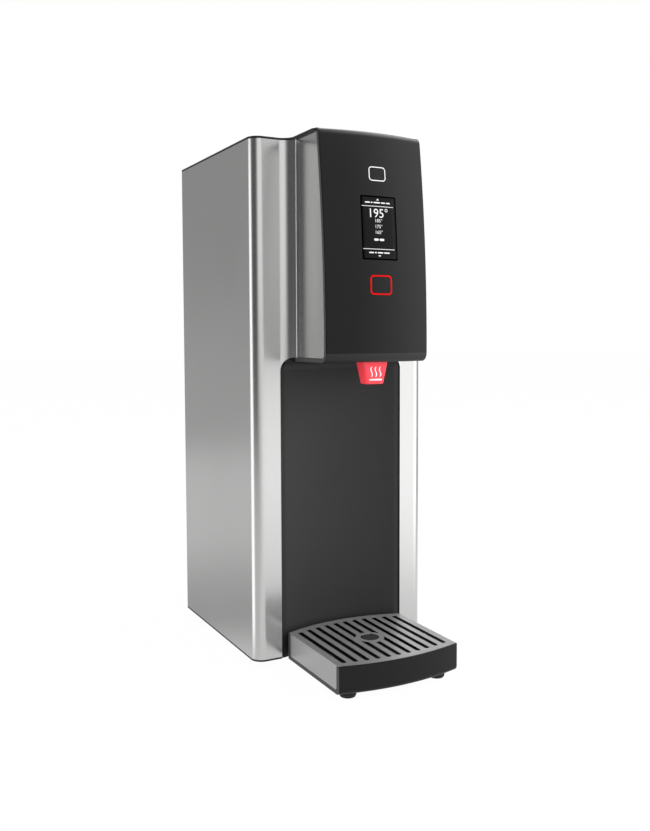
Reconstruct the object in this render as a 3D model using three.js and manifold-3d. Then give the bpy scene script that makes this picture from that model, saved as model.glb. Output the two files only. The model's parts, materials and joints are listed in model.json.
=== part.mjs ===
import * as THREE from 'three';
import { mergeVertices } from 'three/addons/utils/BufferGeometryUtils.js';
import Module from 'manifold-3d';

// A countertop instant hot water dispenser, in millimetres, +Z up, its front towards -Y.
// Inside this file heights start at the underside of the body and depths at the front
// face of its two steel strips. The exported group is moved so that the origin lies on
// the ground, under the middle of the whole machine.

const wasm = await Module();
wasm.setup();

// Driving dimensions

const fit = { gap: 0.3, overrun: 6, weld: 0.0001 };

const body = {
  width: 200,
  depth: 210,
  height: 521.2,
  sheet: 1.2,
  frontRadius: 12,
  rearRadius: 2.5,
  rearFlange: 16,
};

const base = {
  plate: 1.5,
  wall: 1.5,
  wallHeight: 14,
  postRadius: 3,
  postHeight: 10,
  postInset: 5,
};

const foot = {
  height: 6.6,
  radius: 11,
  chamfer: 1.6,
  sideInset: 32,
  frontInset: 38,
  rearInset: 30,
};

const bay = {
  width: 141.7,
  headLap: 4.1,
  cornerRadius: 14,
  flange: 4.4,
  overlap: 6,
  sag: 11,
  topFillet: 9,
  wall: 2.2,
};

const head = {
  width: 114,
  bendRadius: 14,
  reach: 71.5,
  leanRise: 6.6,
  leanRadius: 1560,
  bulge: 7.6,
  height: 217.8,
  rim: 4,
  rimCorner: 4.5,
  floorSeam: 55,
};

const fascia = {
  wall: 2.5,
  topRise: 2.8,
  topRadius: 6,
  bottomRadius: 8.5,
  edgeRadius: 1.6,
  bossRadius: 3.6,
  bossInset: 9,
  bossRise: 24,
  bossDrop: 20,
};

const cover = {
  plate: 2.1,
  overhang: 3,
  fillet: 11,
  corner: 3,
  lip: 1.5,
  lipDepth: 7,
  lipInset: 2,
};

const display = {
  width: 39.2,
  height: 61,
  corner: 1.4,
  drop: 90,
  depth: 8,
  border: 2,
};

const upperKey = { width: 18.4, height: 13.6, corner: 3.4, line: 1.1, drop: 38.4 };

const lowerKey = { width: 23.8, height: 18.6, corner: 3.8, line: 1.3, drop: 144.2 };

const touchBoard = {
  thickness: 1.6,
  depth: 56,
  sideMargin: 14,
  lowMargin: 8,
  highMargin: 10,
};

const headFrame = {
  sheet: 1.5,
  flange: 26,
  rise: 44.6,
  topGap: 14,
  standoffLength: 4,
  standoffRadius: 3,
  standoffInset: 5,
};

const spout = {
  topWidth: 27.5,
  topDepth: 21.2,
  lowWidth: 19.7,
  lowDepth: 18.6,
  drop: 21.6,
  wall: 1.6,
  roof: 2,
  frontRadius: 2,
  rearRadius: 9,
  reach: 57.2,
  flange: 3,
  flangeThickness: 1.5,
};

const nozzle = { radius: 4.6, bore: 3.3, lift: 4, rise: 4 };

const tray = {
  width: 131.7,
  front: 111.8,
  rear: 4.5,
  frontBulge: 9.2,
  rearBulge: 12.6,
  top: 27.85,
  bottom: 0.6,
  wall: 2.2,
  floor: 2.2,
  ledge: 1.6,
  lip: 1.4,
  border: 4.8,
  borderHeight: 3.7,
  toeRadius: 8,
};

const trayCover = { sheet: 1.2, slotWidth: 3.7, slotPitch: 11.2, slotEnd: 8 };

const trayHole = { radius: 8.8, reach: 56, margin: 5.6 };

const trayBoss = { gap: 0.4, drop: 0.6, wall: 1.8 };

const trayHook = { width: 14, length: 6, thickness: 2, spacing: 60, rise: 9 };

const trayFoot = { radius: 8.2, chamfer: 1.8, spacing: 100, reach: 99.5 };

const tank = {
  sideGap: 8.5,
  depth: 164,
  radius: 24,
  height: 272,
  wall: 1.5,
  rearInset: 18,
  rim: 6,
  gasket: 1.5,
  lid: 3,
  portDepth: 110,
  headroom: 29.5,
};

const insulation = { thickness: 8 };

const shelf = { sheet: 1.5, flange: 22, frontGap: 16.5, rearGap: 12, bore: 8 };

const element = {
  rod: 4.2,
  spread: 46,
  clearance: 22,
  bend: 20,
  headRadius: 9,
  headHeight: 7,
  terminal: 2.4,
};

const probe = {
  radius: 2.5,
  headRadius: 6,
  headHeight: 6,
  temperatureLength: 150,
  levelLength: 60,
};

const limiter = {
  radius: 12,
  height: 8,
  collar: 5,
  collarHeight: 2,
  button: 3,
  buttonHeight: 4,
  travel: 1.5,
};

const pipe = { radius: 5, bore: 3.8, bend: 14 };

const outlet = { rise: 34.6 };

const valve = {
  width: 26,
  depth: 30,
  height: 28,
  coilRadius: 14,
  coilHeight: 32,
  bore: 5,
  plunger: 4.2,
  plungerLength: 24,
  travel: 3,
  springWire: 0.7,
  springTurns: 5,
  backGap: 8,
  portDrop: 8.6,
  seatDrop: 4.4,
  seatBore: 2.6,
};

const vent = {
  radius: 3,
  bore: 2,
  bend: 6,
  rise: 9,
  rearGap: 6,
  foot: 26,
  inset: 16,
  side: 32,
};

const rear = {
  sheet: 1.2,
  margin: 4,
  corner: 6,
  slotWidth: 60,
  slotHeight: 4,
  slotPitch: 9,
  slotCount: 6,
};

const inlet = {
  side: 60,
  height: 62,
  radius: 6,
  bore: 4,
  hex: 11,
  hexThickness: 6,
  reach: 17,
  inside: 14,
};

const drain = { side: 48, height: 40, capRadius: 9, capLength: 12, capWall: 2 };

const gland = {
  side: 60,
  height: 96,
  radius: 9,
  bore: 4.5,
  hex: 13,
  hexThickness: 5,
  reach: 16,
  inside: 10,
};

const mainSwitch = {
  height: 75,
  width: 27,
  tall: 21,
  bezel: 2.5,
  bezelThickness: 2,
  depth: 20,
  wall: 2,
  well: 10,
  rockerThickness: 8,
  rockerTilt: 9,
  side: 0,
};

const board = {
  sideGap: 6,
  depth: 80,
  thickness: 1.6,
  front: 34,
  chip: 16,
  chipHeight: 6,
  relay: 22,
  relayHeight: 15,
};

const heatSink = {
  width: 36,
  depth: 64,
  height: 34,
  plate: 6,
  fin: 2,
  fins: 6,
  sideGap: 6.8,
  front: 66,
  relayHeight: 12,
};

const supply = { width: 34, depth: 84, height: 36, sideGap: 7.8, front: 64, wall: 1.2 };

const screw = { radius: 4, headHeight: 2, shank: 1.8, shankLength: 5, inset: 8, drop: 26 };

const facets = {
  edge: 2,
  corner: 4,
  bend: 5,
  wire: 5,
  hex: 6,
  small: 10,
  crown: 10,
  medium: 20,
};

// Places worked out from the sizes above

const halfBody = body.width / 2;
const halfHead = head.width / 2;
const halfBay = bay.width / 2;
const halfTray = tray.width / 2;
const bendStart = halfHead + head.bendRadius;
const sheetBottom = base.plate + fit.gap;
const sheetInset = body.sheet + fit.gap;
const headBottom = body.height - head.height;
const bayTop = headBottom + bay.headLap;
const leanStart = headBottom + head.leanRise;
const displayMiddle = body.height - display.drop;
const touchLow = body.height - lowerKey.drop - lowerKey.height / 2 - touchBoard.lowMargin;
const touchHigh = body.height - upperKey.drop + upperKey.height / 2 + touchBoard.highMargin;
const outletHeight = headBottom + outlet.rise;
const headFrameBottom = headBottom + headFrame.rise;
const floorTop = bayTop - fit.gap;
const fasciaTop = body.height + fascia.topRise;
const fieldHalf = halfBay - bay.flange;
const fieldFront = sheetInset;
const touchFront = -touchBoard.depth;
const rearFace = body.depth + fit.gap + rear.sheet;
const tankMiddle = body.depth - tank.rearInset - tank.depth / 2;
const tankLidTop = body.height - tank.headroom;
const tankTop = tankLidTop - tank.lid - tank.gasket - 2 * fit.gap;
const tankFloor = tankTop - tank.height;
const shelfTop = tankFloor - insulation.thickness - 2 * fit.gap;
const halfTank = halfBody - body.sheet - tank.sideGap - insulation.thickness - fit.gap;
const heatSinkSide = halfBody - body.sheet - heatSink.sideGap - heatSink.width / 2;
const supplySide = halfBody - body.sheet - supply.sideGap - supply.width / 2;
const boardHalf = heatSinkSide - heatSink.width / 2 - board.sideGap;
const spoutReach = -spout.reach;

// Solids and booleans

function toSolid(geometry) {
  const bare = geometry.clone();
  bare.deleteAttribute('normal');
  bare.deleteAttribute('uv');
  const merged = mergeVertices(bare, fit.weld);
  const corners = merged.index.array;
  const kept = [];
  for (let i = 0; i < corners.length; i += 3) {
    const [a, b, c] = [corners[i], corners[i + 1], corners[i + 2]];
    if (a !== b && b !== c && c !== a) {
      kept.push(a, b, c);
    }
  }
  const mesh = new wasm.Mesh({
    numProp: 3,
    vertProperties: new Float32Array(merged.attributes.position.array),
    triVerts: new Uint32Array(kept),
  });
  return new wasm.Manifold(mesh);
}

function toGeometry(solid) {
  const mesh = solid.getMesh();
  const geometry = new THREE.BufferGeometry();
  geometry.setAttribute('position', new THREE.BufferAttribute(new Float32Array(mesh.vertProperties), 3));
  geometry.setIndex(new THREE.BufferAttribute(new Uint32Array(mesh.triVerts), 1));
  geometry.computeVertexNormals();
  return geometry;
}

function join(first, ...others) {
  return others.reduce((whole, other) => whole.add(other), first);
}

function cut(first, ...others) {
  return others.reduce((whole, other) => whole.subtract(other), first);
}

// Plain solids

function block(x0, x1, y0, y1, z0, z1) {
  const geometry = new THREE.BoxGeometry(x1 - x0, y1 - y0, z1 - z0);
  geometry.translate((x0 + x1) / 2, (y0 + y1) / 2, (z0 + z1) / 2);
  return toSolid(geometry);
}

const axes = {
  x: new THREE.Vector3(1, 0, 0),
  y: new THREE.Vector3(0, 1, 0),
  z: new THREE.Vector3(0, 0, 1),
};

// A rod between two values of one axis, through the given place on the other two.
function rod(axis, radius, start, end, across, along, sides = facets.medium) {
  const geometry = new THREE.CylinderGeometry(radius, radius, end - start, sides);
  const middle = (start + end) / 2;
  if (axis === 'x') {
    geometry.rotateZ(-Math.PI / 2);
    geometry.translate(middle, across, along);
  } else if (axis === 'y') {
    geometry.translate(across, middle, along);
  } else {
    geometry.rotateX(Math.PI / 2);
    geometry.translate(across, along, middle);
  }
  return toSolid(geometry);
}

// A ring of circular section turned about the vertical, from a closed list of [radius, height].
function turned(profile, sides = facets.medium) {
  const points = profile.map(([radius, height]) => new THREE.Vector2(radius, height));
  const geometry = new THREE.LatheGeometry(points, sides);
  geometry.rotateX(Math.PI / 2);
  return toSolid(geometry);
}

function outline(points) {
  return new THREE.Shape(points.map(([a, b]) => new THREE.Vector2(a, b)));
}

// Prisms of an outline: drawn in X and Y for prismZ, X and Z for prismY, Y and Z for prismX.
function prismZ(shape, z0, z1) {
  const geometry = new THREE.ExtrudeGeometry(shape, { depth: z1 - z0, bevelEnabled: false });
  geometry.translate(0, 0, z0);
  return toSolid(geometry);
}

function prismY(shape, y0, y1) {
  const geometry = new THREE.ExtrudeGeometry(shape, { depth: y1 - y0, bevelEnabled: false });
  geometry.rotateX(Math.PI / 2);
  geometry.translate(0, y1, 0);
  return toSolid(geometry);
}

function prismX(shape, x0, x1) {
  const geometry = new THREE.ExtrudeGeometry(shape, { depth: x1 - x0, bevelEnabled: false });
  geometry.applyMatrix4(new THREE.Matrix4().makeBasis(axes.y, axes.z, axes.x));
  geometry.translate(x0, 0, 0);
  return toSolid(geometry);
}

function arc(centreA, centreB, radius, from, to, steps = facets.corner) {
  const points = [];
  for (let i = 0; i <= steps; i += 1) {
    const angle = from + (to - from) * i / steps;
    points.push([centreA + radius * Math.cos(angle), centreB + radius * Math.sin(angle)]);
  }
  return points;
}

const quarter = Math.PI / 2;

function roundedRectangle(a0, a1, b0, b1, radius) {
  return [
    ...arc(a0 + radius, b0 + radius, radius, 2 * quarter, 3 * quarter),
    ...arc(a1 - radius, b0 + radius, radius, 3 * quarter, 4 * quarter),
    ...arc(a1 - radius, b1 - radius, radius, 0, quarter),
    ...arc(a0 + radius, b1 - radius, radius, quarter, 2 * quarter),
  ];
}

function polygon(radius, sides, turn = 0) {
  const points = [];
  for (let i = 0; i < sides; i += 1) {
    const angle = turn + 4 * quarter * i / sides;
    points.push([radius * Math.cos(angle), radius * Math.sin(angle)]);
  }
  return points;
}

// A solid through level rings of points, each ring anticlockwise from above.
function loft(rings) {
  const count = rings[0].length;
  const positions = rings.flat().flat();
  const index = [];
  for (let level = 0; level < rings.length - 1; level += 1) {
    for (let i = 0; i < count; i += 1) {
      const next = (i + 1) % count;
      const [a, b] = [level * count + i, level * count + next];
      index.push(a, b, b + count, a, b + count, a + count);
    }
  }
  const top = (rings.length - 1) * count;
  const contour = rings[0].map(([x, y]) => new THREE.Vector2(x, y));
  for (const [a, b, c] of THREE.ShapeUtils.triangulateShape(contour, [])) {
    const turn = (contour[b].x - contour[a].x) * (contour[c].y - contour[a].y)
      - (contour[c].x - contour[a].x) * (contour[b].y - contour[a].y);
    const [p, q] = turn > 0 ? [b, c] : [c, b];
    index.push(a, q, p, top + a, top + p, top + q);
  }
  const geometry = new THREE.BufferGeometry();
  geometry.setAttribute('position', new THREE.Float32BufferAttribute(positions, 3));
  geometry.setIndex(index);
  return toSolid(geometry);
}

// A route of straight runs with rounded corners, with a station only where it turns.
class Route extends THREE.Curve {
  constructor(points, bend) {
    super();
    const corners = points.map((point) => new THREE.Vector3(...point));
    this.stations = [corners[0]];
    this.headings = [corners[1].clone().sub(corners[0]).normalize()];
    for (let i = 1; i < corners.length - 1; i += 1) {
      const enter = corners[i].clone().add(corners[i - 1].clone().sub(corners[i]).setLength(bend));
      const leave = corners[i].clone().add(corners[i + 1].clone().sub(corners[i]).setLength(bend));
      const turn = new THREE.QuadraticBezierCurve3(enter, corners[i], leave);
      for (let step = 0; step <= facets.bend; step += 1) {
        this.stations.push(turn.getPoint(step / facets.bend));
        this.headings.push(turn.getTangent(step / facets.bend));
      }
    }
    this.stations.push(corners[corners.length - 1]);
    this.headings.push(this.headings[this.headings.length - 1]);
  }

  getSpacedPoints() {
    return this.stations;
  }

  getTangentAt(share, target = new THREE.Vector3()) {
    return target.copy(this.headings[Math.round(share * (this.stations.length - 1))]);
  }
}

// A round tube or bar along a route.
function tube(points, bend, radius, bore) {
  const section = outline(polygon(radius, facets.small));
  if (bore > 0) {
    section.holes.push(outline(polygon(bore, facets.small)));
  }
  const extrudePath = new Route(points, bend);
  const steps = extrudePath.stations.length - 1;
  return toSolid(new THREE.ExtrudeGeometry(section, { steps, extrudePath }));
}

// Finishes

const finishes = {
  brushedSteel: { color: 0xbcbcba, roughness: 0.34, metalness: 1 },
  tankSteel: { color: 0xa8a9a8, roughness: 0.42, metalness: 1 },
  traySteel: { color: 0x8d8d8c, roughness: 0.38, metalness: 1 },
  zincSteel: { color: 0x9fa2a4, roughness: 0.5, metalness: 1 },
  blackPlastic: { color: 0x2c2c2d, roughness: 0.55, metalness: 0 },
  darkPlastic: { color: 0x38383a, roughness: 0.62, metalness: 0 },
  rubber: { color: 0x151516, roughness: 0.85, metalness: 0 },
  glass: { color: 0x0b0b0c, roughness: 0.12, metalness: 0 },
  screen: { color: 0x232323, roughness: 0.4, metalness: 0 },
  whiteLight: { color: 0xffffff, roughness: 0.4, metalness: 0 },
  redLight: { color: 0xe00a0a, roughness: 0.4, metalness: 0 },
  redPlastic: { color: 0xe8263c, roughness: 0.4, metalness: 0 },
  foam: { color: 0x3b3b3d, roughness: 0.95, metalness: 0 },
  silicone: { color: 0xc9502e, roughness: 0.7, metalness: 0 },
  brass: { color: 0xb08d4a, roughness: 0.4, metalness: 1 },
  coil: { color: 0x1d1d22, roughness: 0.5, metalness: 0 },
  circuit: { color: 0x1f5a38, roughness: 0.6, metalness: 0 },
  hose: { color: 0xd8d8d2, roughness: 0.5, metalness: 0 },
};

function piece(name, shape, finish, place = [0, 0, 0]) {
  const geometry = shape.isBufferGeometry ? shape : toGeometry(shape);
  const mesh = new THREE.Mesh(geometry, new THREE.MeshStandardMaterial(finishes[finish]));
  mesh.name = name;
  mesh.position.set(...place);
  return mesh;
}

// Plan of one side sheet, from its rear flange round to the front end of the head's cheek.
// inset moves the line into the machine, and side is -1 on the left and 1 on the right.
function sidePlan(inset, side) {
  const line = [
    [halfBody - body.rearFlange, body.depth - inset],
    ...arc(
      halfBody - body.rearRadius, body.depth - body.rearRadius,
      body.rearRadius - inset, quarter, 0,
    ),
    ...arc(
      halfBody - body.frontRadius, body.frontRadius,
      body.frontRadius - inset, 0, -quarter, 2 * facets.corner,
    ),
    ...arc(
      bendStart, -head.bendRadius,
      head.bendRadius + inset, quarter, 2 * quarter, 2 * facets.corner,
    ),
    [halfHead - inset, -head.reach - head.bulge],
  ];
  return line.map(([x, y]) => [side * x, y]);
}

// Depth of the fascia's side edges at a height: upright below, leaning back along an arc above.
function edgeDepth(z) {
  const rise = Math.max(0, z - leanStart);
  return rise * rise / (2 * head.leanRadius) - head.reach;
}

// Front end of the cheeks in side view, from the rounded lower corner to the top.
function cheekEnd(outward) {
  const corner = edgeDepth(bayTop) + head.rim + head.rimCorner;
  const low = bayTop + head.rimCorner;
  const points = arc(corner, low, head.rimCorner + outward, 3 * quarter, 2 * quarter);
  for (let i = 1; i <= facets.crown; i += 1) {
    const z = low + (fasciaTop + fit.overrun - low) * i / facets.crown;
    points.push([edgeDepth(z) + head.rim - outward, z]);
  }
  return points;
}

// Outline of the drinks bay as it is cut from the steel, grown by a margin.
function bayOutline(margin) {
  const half = halfBay + margin;
  const top = bayTop + margin;
  const radius = bay.cornerRadius + margin;
  return outline([
    [-half, -fit.overrun],
    [half, -fit.overrun],
    ...arc(half - radius, top - radius, radius, 0, quarter, 2 * facets.corner),
    ...arc(radius - half, top - radius, radius, quarter, 2 * quarter, 2 * facets.corner),
  ]);
}

// One side sheet, or the room that it takes when it is grown by a margin.
function sideSheet(side, margin) {
  const ribbon = [...sidePlan(-margin, side), ...sidePlan(body.sheet + margin, side).reverse()];
  const front = -head.reach - head.bulge - fit.overrun;
  const nose = outline([
    [front, bayTop - fit.overrun],
    ...cheekEnd(margin),
    [front, fasciaTop + fit.overrun],
  ]);
  return cut(
    prismZ(outline(ribbon), sheetBottom, body.height),
    prismY(bayOutline(-margin), front, fieldFront + body.sheet),
    prismX(nose, -bendStart, bendStart),
  );
}

function screwPlaces() {
  const x = halfBody - screw.inset - rear.margin;
  const low = screw.drop;
  const high = body.height - screw.drop;
  return [[-x, low], [x, low], [-x, high], [x, high]];
}

function sidePanels() {
  return [['left_side_panel', -1], ['right_side_panel', 1]].map(([name, side]) => {
    let sheet = sideSheet(side, 0);
    for (const [x, z] of screwPlaces()) {
      if (x * side > 0) {
        const hole = screw.shank + fit.gap;
        const start = body.depth - fit.overrun;
        const end = body.depth + fit.overrun;
        sheet = cut(sheet, rod('y', hole, start, end, x, z, facets.small));
      }
    }
    return piece(name, sheet, 'brushedSteel');
  });
}

// Front line of the splash panel's hollow field, from left to right.
function fieldLine(forward) {
  const radius = (fieldHalf * fieldHalf + bay.sag * bay.sag) / (2 * bay.sag);
  const centre = fieldFront + bay.sag - radius;
  const spread = Math.asin(fieldHalf / radius);
  return arc(0, centre - forward, radius, quarter + spread, quarter - spread, facets.crown);
}

// The right side of the machine's plan, from its front corner round to its rear corner.
function flankPlan() {
  return [
    ...arc(halfBody - body.frontRadius, body.frontRadius, body.frontRadius, -quarter, 0, 2 * facets.corner),
    ...arc(halfBody - body.rearRadius, body.depth - body.rearRadius, body.rearRadius, 0, quarter),
  ];
}

function mirrored(points) {
  return points.map(([x, y]) => [-x, y]).reverse();
}

function basePan() {
  const right = [[halfBay, fieldFront], [halfBay, 0], ...flankPlan()];
  const plan = [...right, ...mirrored(right), ...fieldLine(0)];
  const sideFace = halfBody - sheetInset;
  const rearEnd = body.depth - sheetInset;
  const front = body.frontRadius + fit.gap;
  const inner = sideFace - base.wall;
  const around = outline(roundedRectangle(-sideFace, sideFace, front, rearEnd, body.rearRadius));
  const high = base.wallHeight + fit.overrun;
  const walls = cut(
    prismZ(around, 0, base.wallHeight),
    block(-inner, inner, front - fit.overrun, rearEnd - base.wall, -fit.overrun, high),
  );
  const parts = [walls];
  for (const [x, y] of boardPosts()) {
    parts.push(rod('z', base.postRadius, 0, base.plate + base.postHeight, x, y, facets.small));
  }
  return piece('base_pan', join(prismZ(outline(plan), 0, base.plate), ...parts), 'blackPlastic');
}

function boardPosts() {
  const x = boardHalf - base.postInset;
  const near = board.front + base.postInset;
  const far = board.front + board.depth - base.postInset;
  return [[-x, near], [x, near], [-x, far], [x, far]];
}

function footSolid(radius, chamfer, height) {
  return turned([[0, 0], [radius - chamfer, 0], [radius, chamfer], [radius, height], [0, height]]);
}

function bodyFeet() {
  const x = halfBody - foot.sideInset;
  const places = [
    ['front_left_foot', -x, foot.frontInset],
    ['front_right_foot', x, foot.frontInset],
    ['rear_left_foot', -x, body.depth - foot.rearInset],
    ['rear_right_foot', x, body.depth - foot.rearInset],
  ];
  const solid = footSolid(foot.radius, foot.chamfer, foot.height - fit.gap);
  return places.map(([name, px, py]) => piece(name, solid, 'rubber', [px, py, -foot.height]));
}

// Plan of the head inside its steel, from the fascia's seam back to behind the strips.
function headPlan(inset, front, back, backHalf) {
  const right = [
    [halfHead - inset, front],
    ...arc(bendStart, -head.bendRadius, head.bendRadius + inset, 2 * quarter, quarter, 2 * facets.corner),
    [bendStart, sheetInset],
    [backHalf, sheetInset],
    [backHalf, back],
  ];
  return outline([...right, ...mirrored(right)]);
}

function spoutPlan(width, depth, middle, inset) {
  const half = width / 2 - inset;
  const front = middle - depth / 2 + inset;
  const back = middle + depth / 2 - inset;
  const near = Math.max(spout.frontRadius - inset, fit.gap);
  const far = spout.rearRadius - inset;
  return [
    ...arc(near - half, front + near, near, 2 * quarter, 3 * quarter),
    ...arc(half - near, front + near, near, 3 * quarter, 4 * quarter),
    ...arc(half - far, back - far, far, 0, quarter),
    ...arc(far - half, back - far, far, quarter, 2 * quarter),
  ];
}

function spoutHole() {
  const plan = spoutPlan(spout.topWidth, spout.topDepth, spoutReach, -fit.gap);
  return prismZ(outline(plan), headBottom - fit.overrun, bayTop + fit.overrun);
}

function headFloor() {
  const back = fieldFront + bay.sag + bay.wall;
  const backHalf = halfBay + bay.overlap;
  const plate = prismZ(headPlan(0, fit.gap - head.floorSeam, back, backHalf), headBottom, floorTop);
  const postTop = outletHeight - valve.height / 2 - fit.gap;
  const postSide = valve.width / 2 - base.postRadius;
  const valveMiddle = -valve.backGap - valve.depth / 2;
  return piece('head_floor', join(
    cut(
      plate,
      sideSheet(-1, fit.gap),
      sideSheet(1, fit.gap),
      spoutHole(),
    ),
    rod('z', base.postRadius, headBottom, postTop, -postSide, valveMiddle, facets.small),
    rod('z', base.postRadius, headBottom, postTop, postSide, valveMiddle, facets.small),
  ), 'blackPlastic');
}

// The splash panel: flat flanges behind the strips and a field hollowed in plan, whose top
// rolls forward into the ceiling of the bay.
function panelLoft(inset, reachBack) {
  const half = halfBay + bay.overlap - inset;
  const top = headBottom - fit.gap - inset;
  const bottom = inset > 0 ? sheetBottom - fit.overrun : sheetBottom;
  const radius = bay.topFillet;
  const levels = [[bottom, 0], [top - radius + inset, 0]];
  for (let i = 1; i <= facets.corner; i += 1) {
    const angle = quarter * i / facets.corner;
    const height = top - radius + inset + (radius - inset) * Math.sin(angle);
    levels.push([height, (radius - inset) * (1 - Math.cos(angle))]);
  }
  const field = loft(levels.map(([z, forward]) => [
    [-fieldHalf, reachBack, z],
    ...fieldLine(forward - inset).map(([x, y]) => [x, y, z]),
    [fieldHalf, reachBack, z],
  ]));
  return join(
    field,
    block(-half, -fieldHalf, fieldFront + inset, reachBack, bottom, top),
    block(fieldHalf, half, fieldFront + inset, reachBack, bottom, top),
  );
}

function splashPanel() {
  const back = fieldFront + bay.sag + bay.wall;
  const hookTop = tray.bottom + trayHook.rise + trayHook.thickness;
  const slots = [-1, 1].map((side) => {
    const x = side * trayHook.spacing / 2;
    const half = trayHook.width / 2 + 2 * fit.gap;
    return block(
      x - half, x + half, -fit.overrun, back + fit.overrun,
      tray.bottom + trayHook.rise - 2 * fit.gap, hookTop + 2 * fit.gap,
    );
  });
  const panel = cut(panelLoft(0, back), panelLoft(bay.wall, back + fit.overrun), ...slots);
  return piece('splash_panel', panel, 'blackPlastic');
}

// One level ring of the fascia, drawn in by a wall and set back where its edges round over.
function fasciaRing(z, inset, setBack, back) {
  const half = halfHead - inset;
  const radius = fascia.edgeRadius;
  const depthAt = (x) => edgeDepth(z) - head.bulge * (1 - (x / halfHead) ** 2) + inset + setBack;
  const ends = arc(half - radius, depthAt(half) + radius, radius, 0, -quarter, facets.edge);
  const points = [];
  for (let i = 1; i < facets.crown; i += 1) {
    const x = (radius - half) + 2 * (half - radius) * i / facets.crown;
    points.push([x, depthAt(x), z]);
  }
  return [
    [-half, back, z],
    ...ends.map(([x, y]) => [-x, y, z]),
    ...points,
    ...ends.reverse().map(([x, y]) => [x, y, z]),
    [half, back, z],
  ];
}

function fasciaLoft(inset, back) {
  const low = headBottom + inset;
  const high = fasciaTop - inset;
  const lowRadius = fascia.bottomRadius - inset;
  const highRadius = fascia.topRadius - inset;
  const levels = [];
  for (let i = 0; i <= facets.corner; i += 1) {
    const angle = quarter * i / facets.corner;
    levels.push([low + lowRadius * (1 - Math.cos(angle)), lowRadius * (1 - Math.sin(angle))]);
  }
  const from = low + lowRadius;
  const to = high - highRadius;
  for (let i = 1; i < facets.crown; i += 1) {
    levels.push([from + (to - from) * i / facets.crown, 0]);
  }
  for (let i = 0; i <= facets.corner; i += 1) {
    const angle = quarter * i / facets.corner;
    levels.push([to + highRadius * Math.sin(angle), highRadius * (1 - Math.cos(angle))]);
  }
  return loft(levels.map(([z, setBack]) => fasciaRing(z, inset, setBack, back)));
}

function windowOutline(size, margin) {
  const half = size.width / 2 + margin;
  const tall = size.height / 2 + margin;
  const radius = size.corner + margin;
  const middle = body.height - size.drop;
  return outline(roundedRectangle(-half, half, middle - tall, middle + tall, radius));
}

const headDepth = head.reach + head.bulge;
const fasciaOuter = fasciaLoft(0, -head.floorSeam / 2);
const fasciaInner = fasciaLoft(fascia.wall, 0);

function bossPlaces() {
  const x = halfHead - fascia.bossInset;
  const low = headFrameBottom + fascia.bossRise;
  const high = body.height - headFrame.topGap - fascia.bossDrop;
  return [[-x, low], [x, low], [-x, high], [x, high]];
}

const frameFront = touchFront + touchBoard.thickness + fit.gap + headFrame.standoffLength;

function fasciaShell() {
  const behind = outline([
    [-head.floorSeam, headBottom - fit.overrun],
    [-head.floorSeam, floorTop],
    ...cheekEnd(fit.gap),
    [0, fasciaTop + fit.overrun],
    [0, headBottom - fit.overrun],
  ]);
  const bosses = bossPlaces().map(([x, z]) => (
    rod('y', fascia.bossRadius, -headDepth, frameFront - fit.gap, x, z, facets.small).intersect(fasciaOuter)
  ));
  const windows = [display, upperKey, lowerKey].map((size) => (
    prismY(windowOutline(size, fit.gap), -headDepth - fit.overrun, touchFront)
  ));
  return piece('fascia', join(
    cut(fasciaOuter, fasciaInner, prismX(behind, -halfBody, halfBody), spoutHole(), ...windows),
    ...bosses,
  ), 'blackPlastic');
}

function displayParts() {
  const window = prismY(windowOutline(display, 0), -headDepth - fit.overrun, touchFront);
  const glass = cut(window.intersect(fasciaOuter), fasciaInner);
  const half = display.width / 2 - display.border;
  const tall = display.height / 2 - display.border;
  const back = touchFront - fit.gap;
  const low = displayMiddle - tall;
  const module = block(-half, half, back - display.depth, back, low, displayMiddle + tall);
  return [piece('display_glass', glass, 'glass'), piece('display_module', module, 'screen')];
}

function keyParts(name, size, light) {
  const front = -headDepth - fit.overrun;
  const back = touchFront - fit.gap;
  const inner = {
    ...size,
    width: size.width - 2 * size.line,
    height: size.height - 2 * size.line,
    corner: size.corner - size.line,
  };
  const ring = cut(
    prismY(windowOutline(size, 0), front, back),
    prismY(windowOutline(inner, 0), front - fit.overrun, back + fit.overrun),
  ).intersect(fasciaOuter);
  const tile = prismY(windowOutline(inner, -fit.gap), front, back).intersect(fasciaOuter);
  return [piece(`${name}_key_light`, ring, light), piece(`${name}_key_tile`, tile, 'blackPlastic')];
}

function touchBoardPart() {
  const half = halfHead - touchBoard.sideMargin;
  const back = touchFront + touchBoard.thickness;
  const plate = block(-half, half, touchFront, back, touchLow, touchHigh);
  return piece('touch_board', plate, 'circuit');
}

// A channel of sheet between the cheeks that carries the touch board on four standoffs.
function headFramePart() {
  const half = halfHead - sheetInset;
  const top = body.height - headFrame.topGap;
  const back = frameFront + headFrame.flange;
  const shell = cut(
    block(-half, half, frameFront, back, headFrameBottom, top),
    block(
      headFrame.sheet - half, half - headFrame.sheet, frameFront + headFrame.sheet, back + fit.overrun,
      headFrameBottom - fit.overrun, top + fit.overrun,
    ),
  );
  const x = halfHead - touchBoard.sideMargin - headFrame.standoffInset;
  const low = touchLow + headFrame.standoffInset;
  const high = touchHigh - headFrame.standoffInset;
  const seat = touchFront + touchBoard.thickness + fit.gap;
  const standoffs = [[-x, low], [x, low], [-x, high], [x, high]].map(([px, pz]) => (
    rod('y', headFrame.standoffRadius, seat, frameFront + headFrame.sheet / 2, px, pz, facets.small)
  ));
  return piece('head_frame', join(shell, ...standoffs), 'zincSteel');
}

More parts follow.
